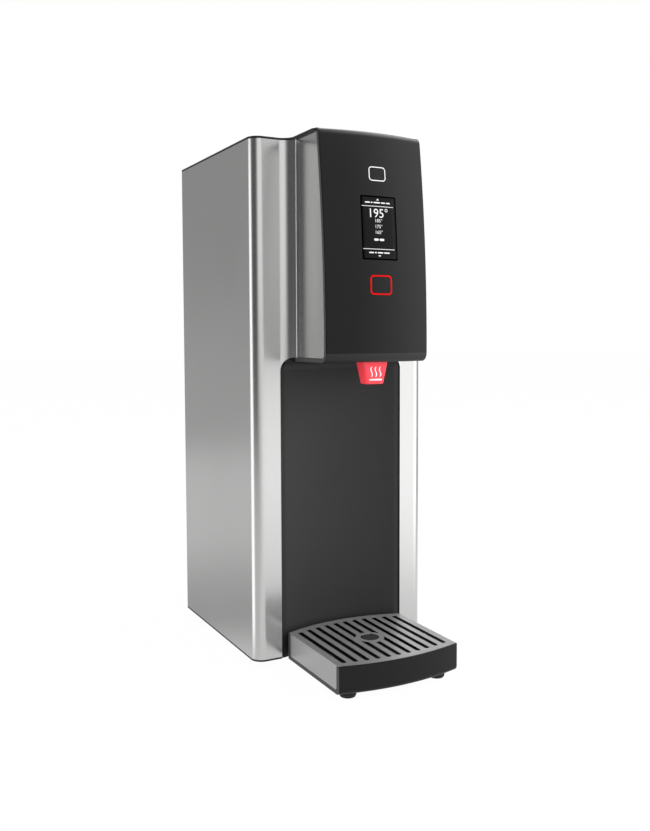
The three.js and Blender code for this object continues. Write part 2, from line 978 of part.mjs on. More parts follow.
function topCover() {
  const seam = edgeDepth(body.height) + head.rim + fit.gap;
  const half = halfHead + cover.overhang;
  const right = [
    ...arc(half - cover.corner, seam + cover.corner, cover.corner, -quarter, 0),
    ...arc(half + cover.fillet, -cover.fillet, cover.fillet, 2 * quarter, quarter, 2 * facets.corner),
    ...flankPlan(),
  ];
  const low = body.height + fit.gap;
  const plate = prismZ(outline([...right, ...mirrored(right)]), low, low + cover.plate);
  const side = halfBody - cover.lipInset;
  const front = body.frontRadius;
  const back = body.depth - cover.lipInset - rear.sheet;
  const lip = cut(
    block(-side, side, front, back, body.height - cover.lipDepth, low + cover.plate / 2),
    block(
      cover.lip - side, side - cover.lip, front + cover.lip, back - cover.lip,
      body.height - cover.lipDepth - fit.overrun, low,
    ),
  );
  return piece('top_cover', join(plate, lip), 'blackPlastic');
}

// The red shroud tapers down, is open below and closed above round the nozzle.
function spoutShroud() {
  const lowest = headBottom - spout.drop;
  const top = floorTop + fit.gap + spout.flangeThickness;
  const ring = (width, depth, inset, z) => (
    spoutPlan(width, depth, spoutReach, inset).map(([x, y]) => [x, y, z])
  );
  const outer = loft([
    ring(spout.lowWidth, spout.lowDepth, 0, lowest),
    ring(spout.topWidth, spout.topDepth, 0, headBottom),
    ring(spout.topWidth, spout.topDepth, 0, top),
  ]);
  const inner = loft([
    ring(spout.lowWidth, spout.lowDepth, spout.wall, lowest - fit.overrun),
    ring(spout.lowWidth, spout.lowDepth, spout.wall, lowest),
    ring(spout.topWidth, spout.topDepth, spout.wall, headBottom),
    ring(spout.topWidth, spout.topDepth, spout.wall, top - spout.roof),
  ]);
  const flangePlan = spoutPlan(spout.topWidth, spout.topDepth, spoutReach, -spout.flange);
  const flange = prismZ(outline(flangePlan), floorTop + fit.gap, top);
  const hole = rod('z', nozzle.radius + fit.gap, headBottom, top + fit.overrun, 0, spoutReach);
  return piece('spout_shroud', cut(join(cut(outer, inner), flange), hole), 'redPlastic');
}

const nozzleTop = floorTop + fit.gap + spout.flangeThickness + nozzle.rise;

function nozzlePart() {
  const low = headBottom - spout.drop + nozzle.lift;
  const ring = cut(
    rod('z', nozzle.radius, low, nozzleTop, 0, spoutReach),
    rod('z', nozzle.bore, low - fit.overrun, nozzleTop + fit.overrun, 0, spoutReach),
  );
  return piece('spout_nozzle', ring, 'tankSteel');
}

function spoutTube() {
  const height = outletHeight - valve.portDrop;
  const start = -valve.backGap - valve.depth - fit.gap;
  const bend = (height - nozzleTop - fit.gap) / 2;
  const points = [
    [0, start, height],
    [0, spoutReach, height],
    [0, spoutReach, nozzleTop + fit.gap],
  ];
  return piece('spout_tube', tube(points, bend, nozzle.radius, nozzle.bore), 'silicone');
}

// A solenoid valve stood on its own seat, with its port line along Y at height zero.
function valveParts(name, place, cavity) {
  const half = valve.height / 2;
  const coilBottom = half + fit.gap;
  const coilTop = coilBottom + valve.coilHeight;
  const seat = -valve.seatDrop;
  const low = seat + fit.gap;
  const plungerTop = low + valve.plungerLength;
  const boreTop = plungerTop + valve.travel + 2 * valve.springTurns * valve.springWire + fit.gap;
  const end = valve.depth / 2 + fit.overrun;
  const bodySolid = cut(
    block(-valve.width / 2, valve.width / 2, -valve.depth / 2, valve.depth / 2, -half, half),
    rod('z', valve.bore, seat, half + fit.overrun, 0, 0),
    rod('y', cavity.rear, fit.gap, end, 0, 0, facets.small),
    rod('z', valve.seatBore, -valve.portDrop - fit.gap, seat + fit.gap, 0, 0, facets.small),
    rod('y', cavity.front, -end, fit.gap, 0, -valve.portDrop, facets.small),
  );
  const coilSolid = cut(
    rod('z', valve.coilRadius, coilBottom, coilTop, 0, 0),
    rod('z', valve.bore, 0, boreTop, 0, 0),
  );
  const plunger = rod('z', valve.plunger, low, plungerTop, 0, 0);
  return [
    piece(`${name}_valve_body`, bodySolid, 'brass', place),
    piece(`${name}_valve_coil`, coilSolid, 'coil', place),
    piece(`${name}_valve_plunger`, plunger, 'tankSteel', place),
    piece(`${name}_valve_spring`, valveSpring(plungerTop, boreTop), 'zincSteel', place),
  ];
}

// A coil spring that fills the room between a plunger's top and the end of its bore.
function valveSpring(low, high) {
  const turns = [];
  const steps = 2 * facets.corner * valve.springTurns;
  const radius = valve.plunger - valve.springWire;
  const start = low + fit.gap + valve.springWire;
  const room = high - fit.gap - valve.springWire - start;
  for (let i = 0; i <= steps; i += 1) {
    const angle = quarter * i / 2;
    const height = start + room * i / steps;
    turns.push(new THREE.Vector3(radius * Math.cos(angle), radius * Math.sin(angle), height));
  }
  return toSolid(new THREE.ExtrudeGeometry(outline(polygon(valve.springWire, facets.wire)), {
    steps,
    extrudePath: new THREE.CatmullRomCurve3(turns),
  }));
}

// Tank, its jacket and what hangs from its lid

function tankPlan(inset) {
  const half = halfTank - inset;
  const deep = tank.depth / 2 - inset;
  return outline(roundedRectangle(-half, half, tankMiddle - deep, tankMiddle + deep, tank.radius - inset));
}

const tankPorts = { fill: [-drain.side, tank.portDepth], drain: [drain.side, tank.portDepth] };

function tankShell() {
  const wallFront = tankMiddle - tank.depth / 2;
  const holes = Object.values(tankPorts).map(([x, y]) => (
    rod('z', pipe.radius + fit.gap, tankFloor - fit.overrun, tankFloor + fit.overrun, x, y, facets.small)
  ));
  const shell = cut(
    prismZ(tankPlan(0), tankFloor, tankTop),
    prismZ(tankPlan(tank.wall), tankFloor + tank.wall, tankTop + fit.overrun),
    rod('y', pipe.bore, wallFront - fit.overrun, wallFront + fit.overrun, 0, outletHeight, facets.small),
    ...holes,
  );
  const rim = cut(
    prismZ(tankPlan(0), tankTop - tank.wall, tankTop),
    prismZ(tankPlan(tank.rim), tankTop - tank.rim, tankTop + fit.overrun),
  );
  return piece('tank_shell', join(shell, rim, outletStub()), 'tankSteel');
}

// The outlet stub is welded into the front wall and runs forward to the dispensing valve.
function outletStub() {
  const end = tankMiddle - tank.depth / 2 + tank.wall;
  const start = fit.gap - valve.backGap;
  return cut(
    rod('y', pipe.radius, start, end, 0, outletHeight, facets.small),
    rod('y', pipe.bore, start - fit.overrun, end + fit.overrun, 0, outletHeight, facets.small),
  );
}

function tankInsulation() {
  const low = shelfTop + fit.gap;
  const wallFront = tankMiddle - tank.depth / 2;
  const spacing = fit.gap + insulation.thickness;
  const opening = pipe.radius + fit.gap;
  const holes = Object.values(tankPorts).map(([x, y]) => (
    rod('z', opening, low - fit.overrun, tankFloor + fit.overrun, x, y, facets.small)
  ));
  const jacket = cut(
    prismZ(tankPlan(-spacing), low, tankTop),
    prismZ(tankPlan(-fit.gap), low + insulation.thickness, tankTop + fit.overrun),
    rod('y', opening, wallFront - 2 * spacing, wallFront + fit.overrun, 0, outletHeight, facets.small),
    ...holes,
  );
  return piece('tank_insulation', jacket, 'foam');
}

function tankShelf() {
  const side = halfBody - sheetInset - base.wall;
  const front = shelf.frontGap;
  const back = body.depth - shelf.rearGap;
  const low = shelfTop - shelf.sheet;
  const holes = Object.values(tankPorts).map(([x, y]) => (
    rod('z', shelf.bore, low - fit.overrun, shelfTop + fit.overrun, x, y)
  ));
  const plate = cut(block(-side, side, front, back, low, shelfTop), ...holes);
  const flangeFoot = shelfTop - shelf.flange;
  const outer = halfBody - sheetInset;
  return piece('tank_shelf', join(
    plate,
    block(-outer, shelf.sheet - outer, front, back, flangeFoot, shelfTop),
    block(outer - shelf.sheet, outer, front, back, flangeFoot, shelfTop),
    block(-outer, outer, front, front + shelf.sheet, low - shelf.sheet, shelfTop),
  ), 'zincSteel');
}

const lidBottom = tankTop + 2 * fit.gap + tank.gasket;

const lidPlaces = {
  elementLeft: [-element.spread / 2, tankMiddle],
  elementRight: [element.spread / 2, tankMiddle],
  temperature: [-halfTank / 2, tankMiddle - tank.depth / 4],
  level: [halfTank / 2, tankMiddle - tank.depth / 4],
  vent: [-vent.side, tankMiddle + tank.depth / 2 - vent.inset],
};

function tankLidParts() {
  const gasket = cut(
    prismZ(tankPlan(0), tankTop + fit.gap, tankTop + fit.gap + tank.gasket),
    prismZ(tankPlan(tank.rim), tankTop, lidBottom + fit.overrun),
  );
  const hole = (place, radius) => (
    rod('z', radius + fit.gap, lidBottom - fit.overrun, tankLidTop + fit.overrun, ...place)
  );
  const lid = cut(
    prismZ(tankPlan(0), lidBottom, tankLidTop),
    hole(lidPlaces.elementLeft, element.rod),
    hole(lidPlaces.elementRight, element.rod),
    hole(lidPlaces.temperature, probe.radius),
    hole(lidPlaces.level, probe.radius),
    hole(lidPlaces.vent, vent.radius),
  );
  return [piece('tank_gasket', gasket, 'silicone'), piece('tank_lid', lid, 'tankSteel')];
}

function heatingElement() {
  const half = element.spread / 2;
  const low = tankFloor + element.clearance;
  const seat = tankLidTop + fit.gap;
  const top = seat + element.headHeight;
  const loop = tube([
    [-half, tankMiddle, top],
    [-half, tankMiddle, low],
    [half, tankMiddle, low],
    [half, tankMiddle, top],
  ], element.bend, element.rod, 0);
  const heads = [lidPlaces.elementLeft, lidPlaces.elementRight].flatMap(([x, y]) => [
    rod('z', element.headRadius, seat, top, x, y, facets.hex),
    rod('z', element.terminal, top - fit.gap, top + element.headHeight / 2, x, y, facets.small),
  ]);
  return piece('heating_element', join(loop, ...heads), 'tankSteel');
}

function lidProbe(name, place, length) {
  const seat = tankLidTop + fit.gap;
  return piece(name, join(
    rod('z', probe.headRadius, seat, seat + probe.headHeight, ...place, facets.hex),
    rod('z', probe.radius, tankLidTop - length, seat + probe.headHeight / 2, ...place, facets.small),
  ), 'tankSteel');
}

const limiterPlace = [halfTank / 2, tankMiddle + tank.depth / 4, tankLidTop + fit.gap];

function limiterParts() {
  const well = limiter.button + fit.gap;
  const top = limiter.height + limiter.collarHeight;
  const housing = cut(
    join(
      rod('z', limiter.radius, 0, limiter.height, 0, 0),
      rod('z', limiter.collar, limiter.height / 2, top, 0, 0),
    ),
    rod('z', well, top - limiter.buttonHeight - fit.gap, top + fit.overrun, 0, 0),
  );
  const low = top - limiter.buttonHeight + limiter.travel;
  const button = rod('z', limiter.button, low, low + limiter.buttonHeight, 0, 0);
  return [
    piece('limit_thermostat', housing, 'coil', limiterPlace),
    piece('thermostat_reset_button', button, 'redLight', limiterPlace),
  ];
}

function ventTube() {
  const [x, y] = lidPlaces.vent;
  const high = tankLidTop + vent.rise;
  const back = body.depth - vent.rearGap;
  const points = [
    [x, y, tankTop - vent.rise],
    [x, y, high],
    [x, back, high],
    [x, back, vent.foot],
  ];
  return piece('vent_tube', tube(points, vent.bend, vent.radius, vent.bore), 'hose');
}

// Water inlet and drain, low at the back

const inletValvePlace = [
  -inlet.side,
  body.depth - inlet.inside - fit.gap - valve.depth / 2,
  inlet.height,
];

function inletFitting() {
  const inner = body.depth - inlet.inside;
  const outer = rearFace + inlet.reach;
  const seat = rearFace + fit.gap;
  const hex = prismY(outline(polygon(inlet.hex, facets.hex)), seat, seat + inlet.hexThickness);
  const shape = cut(
    join(rod('y', inlet.radius, inner, outer, 0, 0), hex),
    rod('y', inlet.bore, inner - fit.overrun, outer + fit.overrun, 0, 0, facets.small),
  );
  return piece('inlet_fitting', shape, 'brass', [-inlet.side, 0, inlet.height]);
}

function fillTube() {
  const [x, y] = tankPorts.fill;
  const start = inletValvePlace[1] - valve.depth / 2 - fit.gap;
  const height = inlet.height - valve.portDrop;
  const points = [
    [-inlet.side, start, height],
    [-inlet.side, y, height],
    [x, y, height + 2 * pipe.bend],
    [x, y, tankFloor + tank.wall],
  ];
  return piece('fill_tube', tube(points, pipe.bend, pipe.radius, pipe.bore), 'hose');
}

function drainParts() {
  const [x, y] = tankPorts.drain;
  const end = rearFace + drain.capLength - drain.capWall;
  const points = [
    [x, y, tankFloor + tank.wall],
    [x, y, drain.height],
    [x, end, drain.height],
  ];
  const start = rearFace + fit.gap;
  const cap = cut(
    rod('y', drain.capRadius, start, end + fit.gap + drain.capWall, 0, 0, facets.hex),
    rod('y', pipe.radius + fit.gap, start - fit.overrun, end + fit.gap, 0, 0),
  );
  return [
    piece('drain_pipe', tube(points, pipe.bend, pipe.radius, pipe.bore), 'tankSteel'),
    piece('drain_cap', cap, 'brass', [x, 0, drain.height]),
  ];
}

function cableGland() {
  const inner = body.depth - gland.inside;
  const outer = rearFace + gland.reach;
  const seat = rearFace + fit.gap;
  const hex = prismY(outline(polygon(gland.hex, facets.hex)), seat, seat + gland.hexThickness);
  const shape = cut(
    join(rod('y', gland.radius, inner, outer, 0, 0), hex),
    rod('y', gland.bore, inner - fit.overrun, outer + fit.overrun, 0, 0, facets.small),
  );
  return piece('cable_gland', shape, 'rubber', [gland.side, 0, gland.height]);
}

// The main switch: a bezelled housing in the rear panel and a rocker on a level axis.
function switchParts() {
  const halfWide = mainSwitch.width / 2;
  const halfTall = mainSwitch.tall / 2;
  const bezel = mainSwitch.bezel;
  const seat = rearFace + fit.gap;
  const face = seat + mainSwitch.bezelThickness;
  const inner = seat - mainSwitch.depth;
  const wellWide = halfWide - mainSwitch.wall;
  const wellTall = halfTall - mainSwitch.wall;
  const housing = cut(
    join(
      block(-halfWide, halfWide, inner, face, -halfTall, halfTall),
      block(-halfWide - bezel, halfWide + bezel, seat, face, -halfTall - bezel, halfTall + bezel),
    ),
    block(-wellWide, wellWide, face - mainSwitch.well, face + fit.overrun, -wellTall, wellTall),
  );
  const tall = wellTall * Math.cos(mainSwitch.rockerTilt * Math.PI / 180) - 3 * fit.gap;
  const deep = mainSwitch.rockerThickness / 2;
  const rise = tall * Math.tan(mainSwitch.rockerTilt * Math.PI / 180);
  const rocker = prismX(outline([
    [-deep, -tall / 2],
    [0, -tall],
    [deep - rise / 2 + rise, -tall],
    [deep - rise / 2, 0],
    [deep - rise / 2 + rise, tall],
    [0, tall],
    [-deep, tall / 2],
  ]), fit.gap - wellWide, wellWide - fit.gap);
  const pivot = face - mainSwitch.well / 2;
  return [
    piece('switch_housing', housing, 'darkPlastic', [mainSwitch.side, 0, mainSwitch.height]),
    piece('power_rocker', rocker, 'rubber', [mainSwitch.side, pivot, mainSwitch.height]),
  ];
}

function rearPanel() {
  const half = halfBody - rear.margin;
  const low = sheetBottom + rear.margin;
  const high = body.height - rear.margin;
  const near = body.depth + fit.gap;
  const hole = (radius, x, z) => (
    rod('y', radius + fit.gap, near - fit.overrun, rearFace + fit.overrun, x, z)
  );
  const slots = [];
  for (const highest of [shelfTop, tankTop]) {
    for (let i = 1; i <= rear.slotCount; i += 1) {
      const z = highest - i * rear.slotPitch;
      slots.push(block(
        -rear.slotWidth / 2, rear.slotWidth / 2, near - fit.overrun, rearFace + fit.overrun,
        z, z + rear.slotHeight,
      ));
    }
  }
  const wide = mainSwitch.width / 2 + fit.gap;
  const tall = mainSwitch.tall / 2 + fit.gap;
  const panel = cut(
    prismY(outline(roundedRectangle(-half, half, low, high, rear.corner)), near, rearFace),
    hole(inlet.radius, -inlet.side, inlet.height),
    hole(pipe.radius, drain.side, drain.height),
    hole(gland.radius, gland.side, gland.height),
    block(
      mainSwitch.side - wide, mainSwitch.side + wide, near - fit.overrun, rearFace + fit.overrun,
      mainSwitch.height - tall, mainSwitch.height + tall,
    ),
    ...screwPlaces().map(([x, z]) => hole(screw.shank, x, z)),
    ...slots,
  );
  return piece('rear_panel', panel, 'zincSteel');
}

function rearScrews() {
  const seat = rearFace + fit.gap;
  const solid = join(
    rod('y', screw.radius, seat, seat + screw.headHeight, 0, 0, facets.small),
    rod('y', screw.shank, seat - screw.shankLength, seat + screw.headHeight / 2, 0, 0, facets.small),
  );
  return screwPlaces().map(([x, z], i) => piece(`rear_screw_${i + 1}`, solid, 'zincSteel', [x, 0, z]));
}

// Electrics on the base

function controlBoard() {
  const low = base.plate + base.postHeight + fit.gap;
  const top = low + board.thickness;
  const half = boardHalf;
  const middle = board.front + board.depth / 2;
  const seat = top - board.thickness / 2;
  const chip = board.chip / 2;
  const relays = [half / 2, -half / 2 - board.relay / 2].map((x) => (
    block(x, x + board.relay / 2, middle, middle + board.relay, seat, top + board.relayHeight)
  ));
  return piece('control_board', join(
    block(-half, half, board.front, board.front + board.depth, low, top),
    block(-chip, chip, middle - chip, middle + chip, seat, top + board.chipHeight),
    ...relays,
  ), 'circuit');
}

function powerRelay() {
  const half = heatSink.width / 2;
  const low = sheetBottom;
  const spacing = (heatSink.width - heatSink.fin) / (heatSink.fins - 1);
  const parts = [];
  for (let i = 0; i < heatSink.fins; i += 1) {
    const x = -half + i * spacing;
    const start = low + heatSink.plate / 2;
    parts.push(block(x, x + heatSink.fin, 0, heatSink.depth, start, low + heatSink.height));
  }
  return piece('heater_relay', join(
    block(-half, half, 0, heatSink.depth, low, low + heatSink.plate),
    ...parts,
    block(-half, half, -heatSink.relayHeight, fit.gap, low, low + heatSink.height),
  ), 'zincSteel', [-heatSinkSide, heatSink.front, 0]);
}

function powerSupply() {
  const half = supply.width / 2;
  const low = sheetBottom;
  const high = low + supply.height;
  const middle = low + supply.height / 2;
  const wall = supply.wall;
  return piece('power_supply', cut(
    block(-half, half, 0, supply.depth, low, high),
    block(wall - half, half - wall, -fit.overrun, supply.depth - wall, middle, high - wall),
  ), 'zincSteel', [supplySide, supply.front, 0]);
}

// The drip tray: a moulded basin with its feet and hooks, and a lift-off slotted cover

function trayArc(chord, bulge, half, direction) {
  const radius = (halfTray * halfTray + bulge * bulge) / (2 * bulge);
  const crest = chord + direction * bulge;
  const spread = Math.asin(half / radius);
  const centre = crest - direction * radius;
  return arc(0, centre, radius, direction * quarter - spread, direction * quarter + spread, facets.crown);
}

function trayPoints(sideInset, frontInset, rearInset) {
  const half = halfTray - sideInset;
  return [
    ...trayArc(frontInset - tray.front, tray.frontBulge, half, -1),
    ...trayArc(-tray.rear - rearInset, tray.rearBulge, half, 1),
  ];
}

// Plan of the tray drawn in by one margin at its sides and another at its ends.
function trayPlan(sideInset, endInset) {
  return outline(trayPoints(sideInset, endInset, endInset));
}

// A solid of that plan whose front rises from its low level in a round of one radius.
function trayForm(sideInset, endInset, radius, low, high) {
  const turn = Math.acos(Math.max(0, 1 - (high - low) / radius));
  const levels = [];
  for (let i = 0; i <= facets.corner; i += 1) {
    const angle = turn * i / facets.corner;
    levels.push([low + radius * (1 - Math.cos(angle)), radius * (1 - Math.sin(angle))]);
  }
  if (high > low + radius) {
    levels.push([high, 0]);
  }
  return loft(levels.map(([z, setBack]) => (
    trayPoints(sideInset, endInset + setBack, endInset).map(([x, y]) => [x, y, z])
  )));
}

const trayLedgeTop = tray.top - trayCover.sheet - fit.gap;

function trayBasin() {
  const flank = trayCover.sheet + fit.gap;
  const lowTop = tray.bottom + tray.borderHeight;
  const floorTop = tray.bottom + tray.floor;
  const whole = trayForm(0, 0, tray.toeRadius, tray.bottom, tray.top);
  const outer = join(
    trayForm(0, 0, tray.toeRadius, tray.bottom, lowTop),
    trayForm(flank, 0, tray.toeRadius, tray.bottom, tray.top),
    block(-halfTray, halfTray, -tray.front, tray.border - tray.front, tray.bottom, trayLedgeTop)
      .intersect(whole),
    block(-halfTray, halfTray, -tray.rear - tray.border, -tray.rear, tray.bottom, trayLedgeTop)
      .intersect(whole),
  );
  const hooks = [-1, 1].map((side) => {
    const x = side * trayHook.spacing / 2;
    const low = tray.bottom + trayHook.rise;
    const half = trayHook.width / 2;
    const end = tray.rearBulge - tray.rear + trayHook.length;
    return block(x - half, x + half, 0, end, low, low + trayHook.thickness);
  });
  const sideWall = tray.wall + flank;
  const endWall = tray.lip + tray.ledge;
  const high = tray.top + fit.overrun;
  const roomPlan = trayPlan(sideWall, endWall);
  const boss = (inset, low, top) => (
    rod('z', trayHole.radius - trayBoss.gap - inset, low, top, 0, -trayHole.reach)
  );
  const bossTop = tray.top - trayBoss.drop;
  const basin = cut(
    outer,
    prismZ(trayPlan(-fit.overrun, tray.lip), trayLedgeTop, high),
    trayForm(sideWall, endWall, tray.toeRadius - tray.floor, floorTop, high),
  );
  return piece('tray_basin', join(
    cut(
      join(basin, boss(0, tray.bottom, bossTop)),
      boss(trayBoss.wall, tray.bottom - fit.overrun, bossTop - trayBoss.wall),
    ),
    ...hooks.map((hook) => cut(hook, prismZ(roomPlan, tray.bottom, tray.top))),
  ), 'blackPlastic');
}

function slotOutline(x, from, to) {
  const half = trayCover.slotWidth / 2;
  return outline([
    ...arc(x, from + half, half, 2 * quarter, 4 * quarter),
    ...arc(x, to - half, half, 0, 2 * quarter),
  ]);
}

// Every slot follows the bowed ends of the cover, and the middle ones end at a ring round the hole.
function traySlots(low, high) {
  const slots = [];
  const half = halfTray - trayCover.slotEnd;
  const count = Math.floor(half / trayCover.slotPitch);
  const drop = (bulge, x) => bulge * (x / halfTray) ** 2;
  for (let i = -count; i <= count; i += 1) {
    const x = i * trayCover.slotPitch;
    const front = drop(tray.frontBulge, x) - tray.front - tray.frontBulge + trayCover.slotEnd + tray.lip;
    const back = tray.rearBulge - tray.rear - drop(tray.rearBulge, x) - trayCover.slotEnd - tray.lip;
    slots.push(prismZ(slotOutline(x, front, back), low, high));
  }
  const ring = rod('z', trayHole.radius + trayHole.margin, low, high, 0, -trayHole.reach);
  return cut(join(...slots), ring);
}

function trayCoverPart() {
  const low = tray.top - trayCover.sheet;
  const endGap = tray.lip + fit.gap;
  const skirtFront = tray.border + fit.gap - tray.front;
  const skirtBack = -tray.rear - tray.border - fit.gap;
  const skirtLow = tray.bottom + tray.borderHeight + fit.gap;
  const skirtTop = low + trayCover.sheet / 2;
  const top = cut(
    prismZ(trayPlan(0, endGap), low, tray.top),
    traySlots(low - fit.overrun, tray.top + fit.overrun),
    rod('z', trayHole.radius, low - fit.overrun, tray.top + fit.overrun, 0, -trayHole.reach),
  );
  return piece('tray_cover', join(
    top,
    block(-halfTray, trayCover.sheet - halfTray, skirtFront, skirtBack, skirtLow, skirtTop),
    block(halfTray - trayCover.sheet, halfTray, skirtFront, skirtBack, skirtLow, skirtTop),
  ), 'traySteel');
}

function trayFeet() {
  const height = foot.height + tray.bottom - fit.gap;
  const solid = footSolid(trayFoot.radius, trayFoot.chamfer, height);
  const x = trayFoot.spacing / 2;
  return [
    piece('left_tray_foot', solid, 'rubber', [-x, -trayFoot.reach, -foot.height]),
    piece('right_tray_foot', solid, 'rubber', [x, -trayFoot.reach, -foot.height]),
  ];
}

// Assembly

function assemble(...parts) {
  const group = new THREE.Group();
  group.add(...parts.flat());
  return group;
}

const dispenseValvePlace = [0, -valve.backGap - valve.depth / 2, outletHeight];
const dispensePorts = { rear: pipe.bore, front: nozzle.bore };
const inletPorts = { rear: inlet.bore, front: pipe.bore };

const casing = assemble(
  sidePanels(), basePan(), bodyFeet(), rearPanel(), rearScrews(), topCover(), splashPanel(), headFloor(),
);

const headGroup = assemble(
  fasciaShell(), displayParts(), keyParts('upper', upperKey, 'whiteLight'),
  keyParts('lower', lowerKey, 'redLight'), touchBoardPart(), headFramePart(),
  spoutShroud(), nozzlePart(), spoutTube(), valveParts('dispense', dispenseValvePlace, dispensePorts),
);

const boiler = assemble(
  tankShelf(), tankInsulation(), tankShell(), tankLidParts(), heatingElement(),
  lidProbe('temperature_probe', lidPlaces.temperature, probe.temperatureLength),
  lidProbe('level_probe', lidPlaces.level, probe.levelLength),
  limiterParts(), ventTube(),
);

const services = assemble(
  inletFitting(), valveParts('inlet', inletValvePlace, inletPorts), fillTube(), drainParts(),
  cableGland(), switchParts(), controlBoard(), powerRelay(), powerSupply(),
);

const dripTray = assemble(trayBasin(), trayCoverPart(), trayFeet());

const frontReach = -tray.front - tray.frontBulge;
const rearReach = rearFace + Math.max(inlet.reach, gland.reach, drain.capLength);

const dispenser = assemble(casing, headGroup, boiler, services, dripTray);
dispenser.position.set(0, -(frontReach + rearReach) / 2, foot.height);

export default dispenser;
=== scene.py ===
"""A countertop instant hot water dispenser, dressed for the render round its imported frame.

Lengths are in metres. Inside the pieces, heights start at the underside of the body and
depths at the front face of the two steel strips; at() turns such a place into the frame's.
"""

import json
import math

import bmesh
import bpy
from bpy.props import FloatProperty, FloatVectorProperty, PointerProperty
from mathutils import Matrix, Vector
from mathutils.geometry import tessellate_polygon

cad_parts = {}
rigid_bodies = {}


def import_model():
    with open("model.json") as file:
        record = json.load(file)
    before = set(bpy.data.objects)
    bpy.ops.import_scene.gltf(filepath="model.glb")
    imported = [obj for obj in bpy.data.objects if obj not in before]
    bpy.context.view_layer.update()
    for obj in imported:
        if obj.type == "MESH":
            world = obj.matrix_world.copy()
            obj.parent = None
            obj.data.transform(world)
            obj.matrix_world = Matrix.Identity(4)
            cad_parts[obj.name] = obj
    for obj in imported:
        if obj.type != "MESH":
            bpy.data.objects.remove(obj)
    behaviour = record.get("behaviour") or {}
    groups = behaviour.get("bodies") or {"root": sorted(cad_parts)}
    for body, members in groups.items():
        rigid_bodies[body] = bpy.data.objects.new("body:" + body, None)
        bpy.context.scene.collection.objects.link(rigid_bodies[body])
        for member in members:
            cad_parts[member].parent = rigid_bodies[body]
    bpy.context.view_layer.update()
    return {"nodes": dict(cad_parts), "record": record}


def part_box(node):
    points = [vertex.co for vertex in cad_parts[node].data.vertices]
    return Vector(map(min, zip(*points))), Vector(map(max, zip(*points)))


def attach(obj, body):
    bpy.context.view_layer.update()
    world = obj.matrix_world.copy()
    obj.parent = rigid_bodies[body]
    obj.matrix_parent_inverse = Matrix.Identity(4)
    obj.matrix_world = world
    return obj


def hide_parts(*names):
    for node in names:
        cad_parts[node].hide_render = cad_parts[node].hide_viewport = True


bl_info = {
    "name": "Hot Water Dispenser",
    "version": (1, 0, 0),
    "blender": (4, 5, 0),
    "location": "View3D > Sidebar > Dispenser",
    "description": "Builds the pieces, finishes and stage of a countertop hot water dispenser",
    "category": "Object",
}

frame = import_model()

MM = 0.001
QUARTER = math.pi / 2
PANEL_DEPTH = 210 * MM
HOME = Vector((0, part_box("left_side_panel")[1].y - PANEL_DEPTH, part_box("base_pan")[0].z))


class Lengths:
    """Named lengths, given in millimetres and held in metres."""

    def __init__(self, **lengths):
        for name, value in lengths.items():
            setattr(self, name, value * MM)


BODY = Lengths(half=100, top=521.2, foot=1.8, rear_radius=2.5, rear_flange=16)
BAY = Lengths(half=70.85, top=307.5, corner=14, field=66.45, edge=76.85, front=1.5, fillet=9, wall=2.2)
HEAD = Lengths(
    half=57, cheek=56.6, bend_end=4.4, bend_flat=3.8, reach=71.5, bottom=303.4, seam=-55, gap=0.3,
    lean_start=310, lean_radius=1560, rim_corner=4.5)
# The side sheets' bend: the turn of its wide arc, and how its points crowd towards the start.
BEND_TURN = math.radians(50)
BEND_CROWDING = 1.3
FASCIA = Lengths(top=524, top_round=6, low_round=8.5, side_round=1.6, wall=2.5)
LID = Lengths(overhang=3, fillet=11, corner=3, low=521.5)
SCREEN = Lengths(half=19.6, low=400.7, high=461.7, corner=1.4, bezel=1.5, shift=-1.1)
# The display's marks: how far they stand proud, their film, and the lines and arrows.
MARK = Lengths(proud=0.16, film=0.06, rule=17.4, line=0.55, arrow=1.5)
# Height of a digit in a font of size 1, and how finely what follows the fascia is cut.
CAP_HEIGHT = 0.7
WRAP_STEP = 2.5 * MM
KEYS = {
    "upper": Lengths(half=9.2, low=476, high=489.6, corner=3.4, line=0.85),
    "lower": Lengths(half=11.9, low=367.7, high=386.3, corner=3.8, line=1.3),
}
SPOUT = Lengths(
    middle=-57.2, top_half=13.75, top_depth=21.2, low_half=9.85, low_depth=18.6, low=281.8,
    wall=1.6, front_round=2, low_round=1.8, rear_round=9)
# The steam sign on the spout: its waves and the line under them, up from the spout's mouth.
WAVE = Lengths(width=1.25, pitch=4.8, low=7, high=17, swing=0.9, film=0.06)
UNDERLINE = Lengths(half=7.2, low=3.5, high=5.2, corner=0.7)
TRAY = Lengths(
    half=65.85, front=-111.8, back=-4.5, front_bow=9.2, back_bow=12.6, top=27.85, low=0.6,
    wall=2.2, ledge=1.6, lip=1.4, flank=1.5, border=4.8, border_height=3.7, sheet=1.2,
    face=0.5, toe=5, skirt_corner=2, skirt_drop=0.55, skirt_proud=0.01)
SLOTS = Lengths(
    width=5, pitch=11.2, end=8, hole=9.3, hole_at=-56, ring=14.4, boss=8.4, boss_drop=0.3,
    boss_round=0.5)
# Slots on each side of the cover's middle one.
SLOTS_ASIDE = 5
# The tray's two hooks, and the slots that they enter in the splash panel.
HOOK = Lengths(place=30, half=7, reach=14.1, low=9, high=11)
HOOK_SLOT = Lengths(half=7.6, front=-20, back=30, under=0.6, over=2.6)
REAR_HOLES = {"inlet_fitting": 6.3 * MM, "drain_cap": 5.3 * MM, "cable_gland": 9.3 * MM}
SWITCH_HOLE = Lengths(half=13.8, low=64.2, high=85.8, corner=1)
# Two rows of vents in the rear panel, counted down from their tops.
VENT = Lengths(half=30, height=4, pitch=9, corner=1.99)
VENT_TOPS = (206 * MM, 486.6 * MM)
VENTS = 6
# How far a tool reaches past what it cuts, and how close two corners merge.
OVER = 6 * MM
WELD = 0.002 * MM
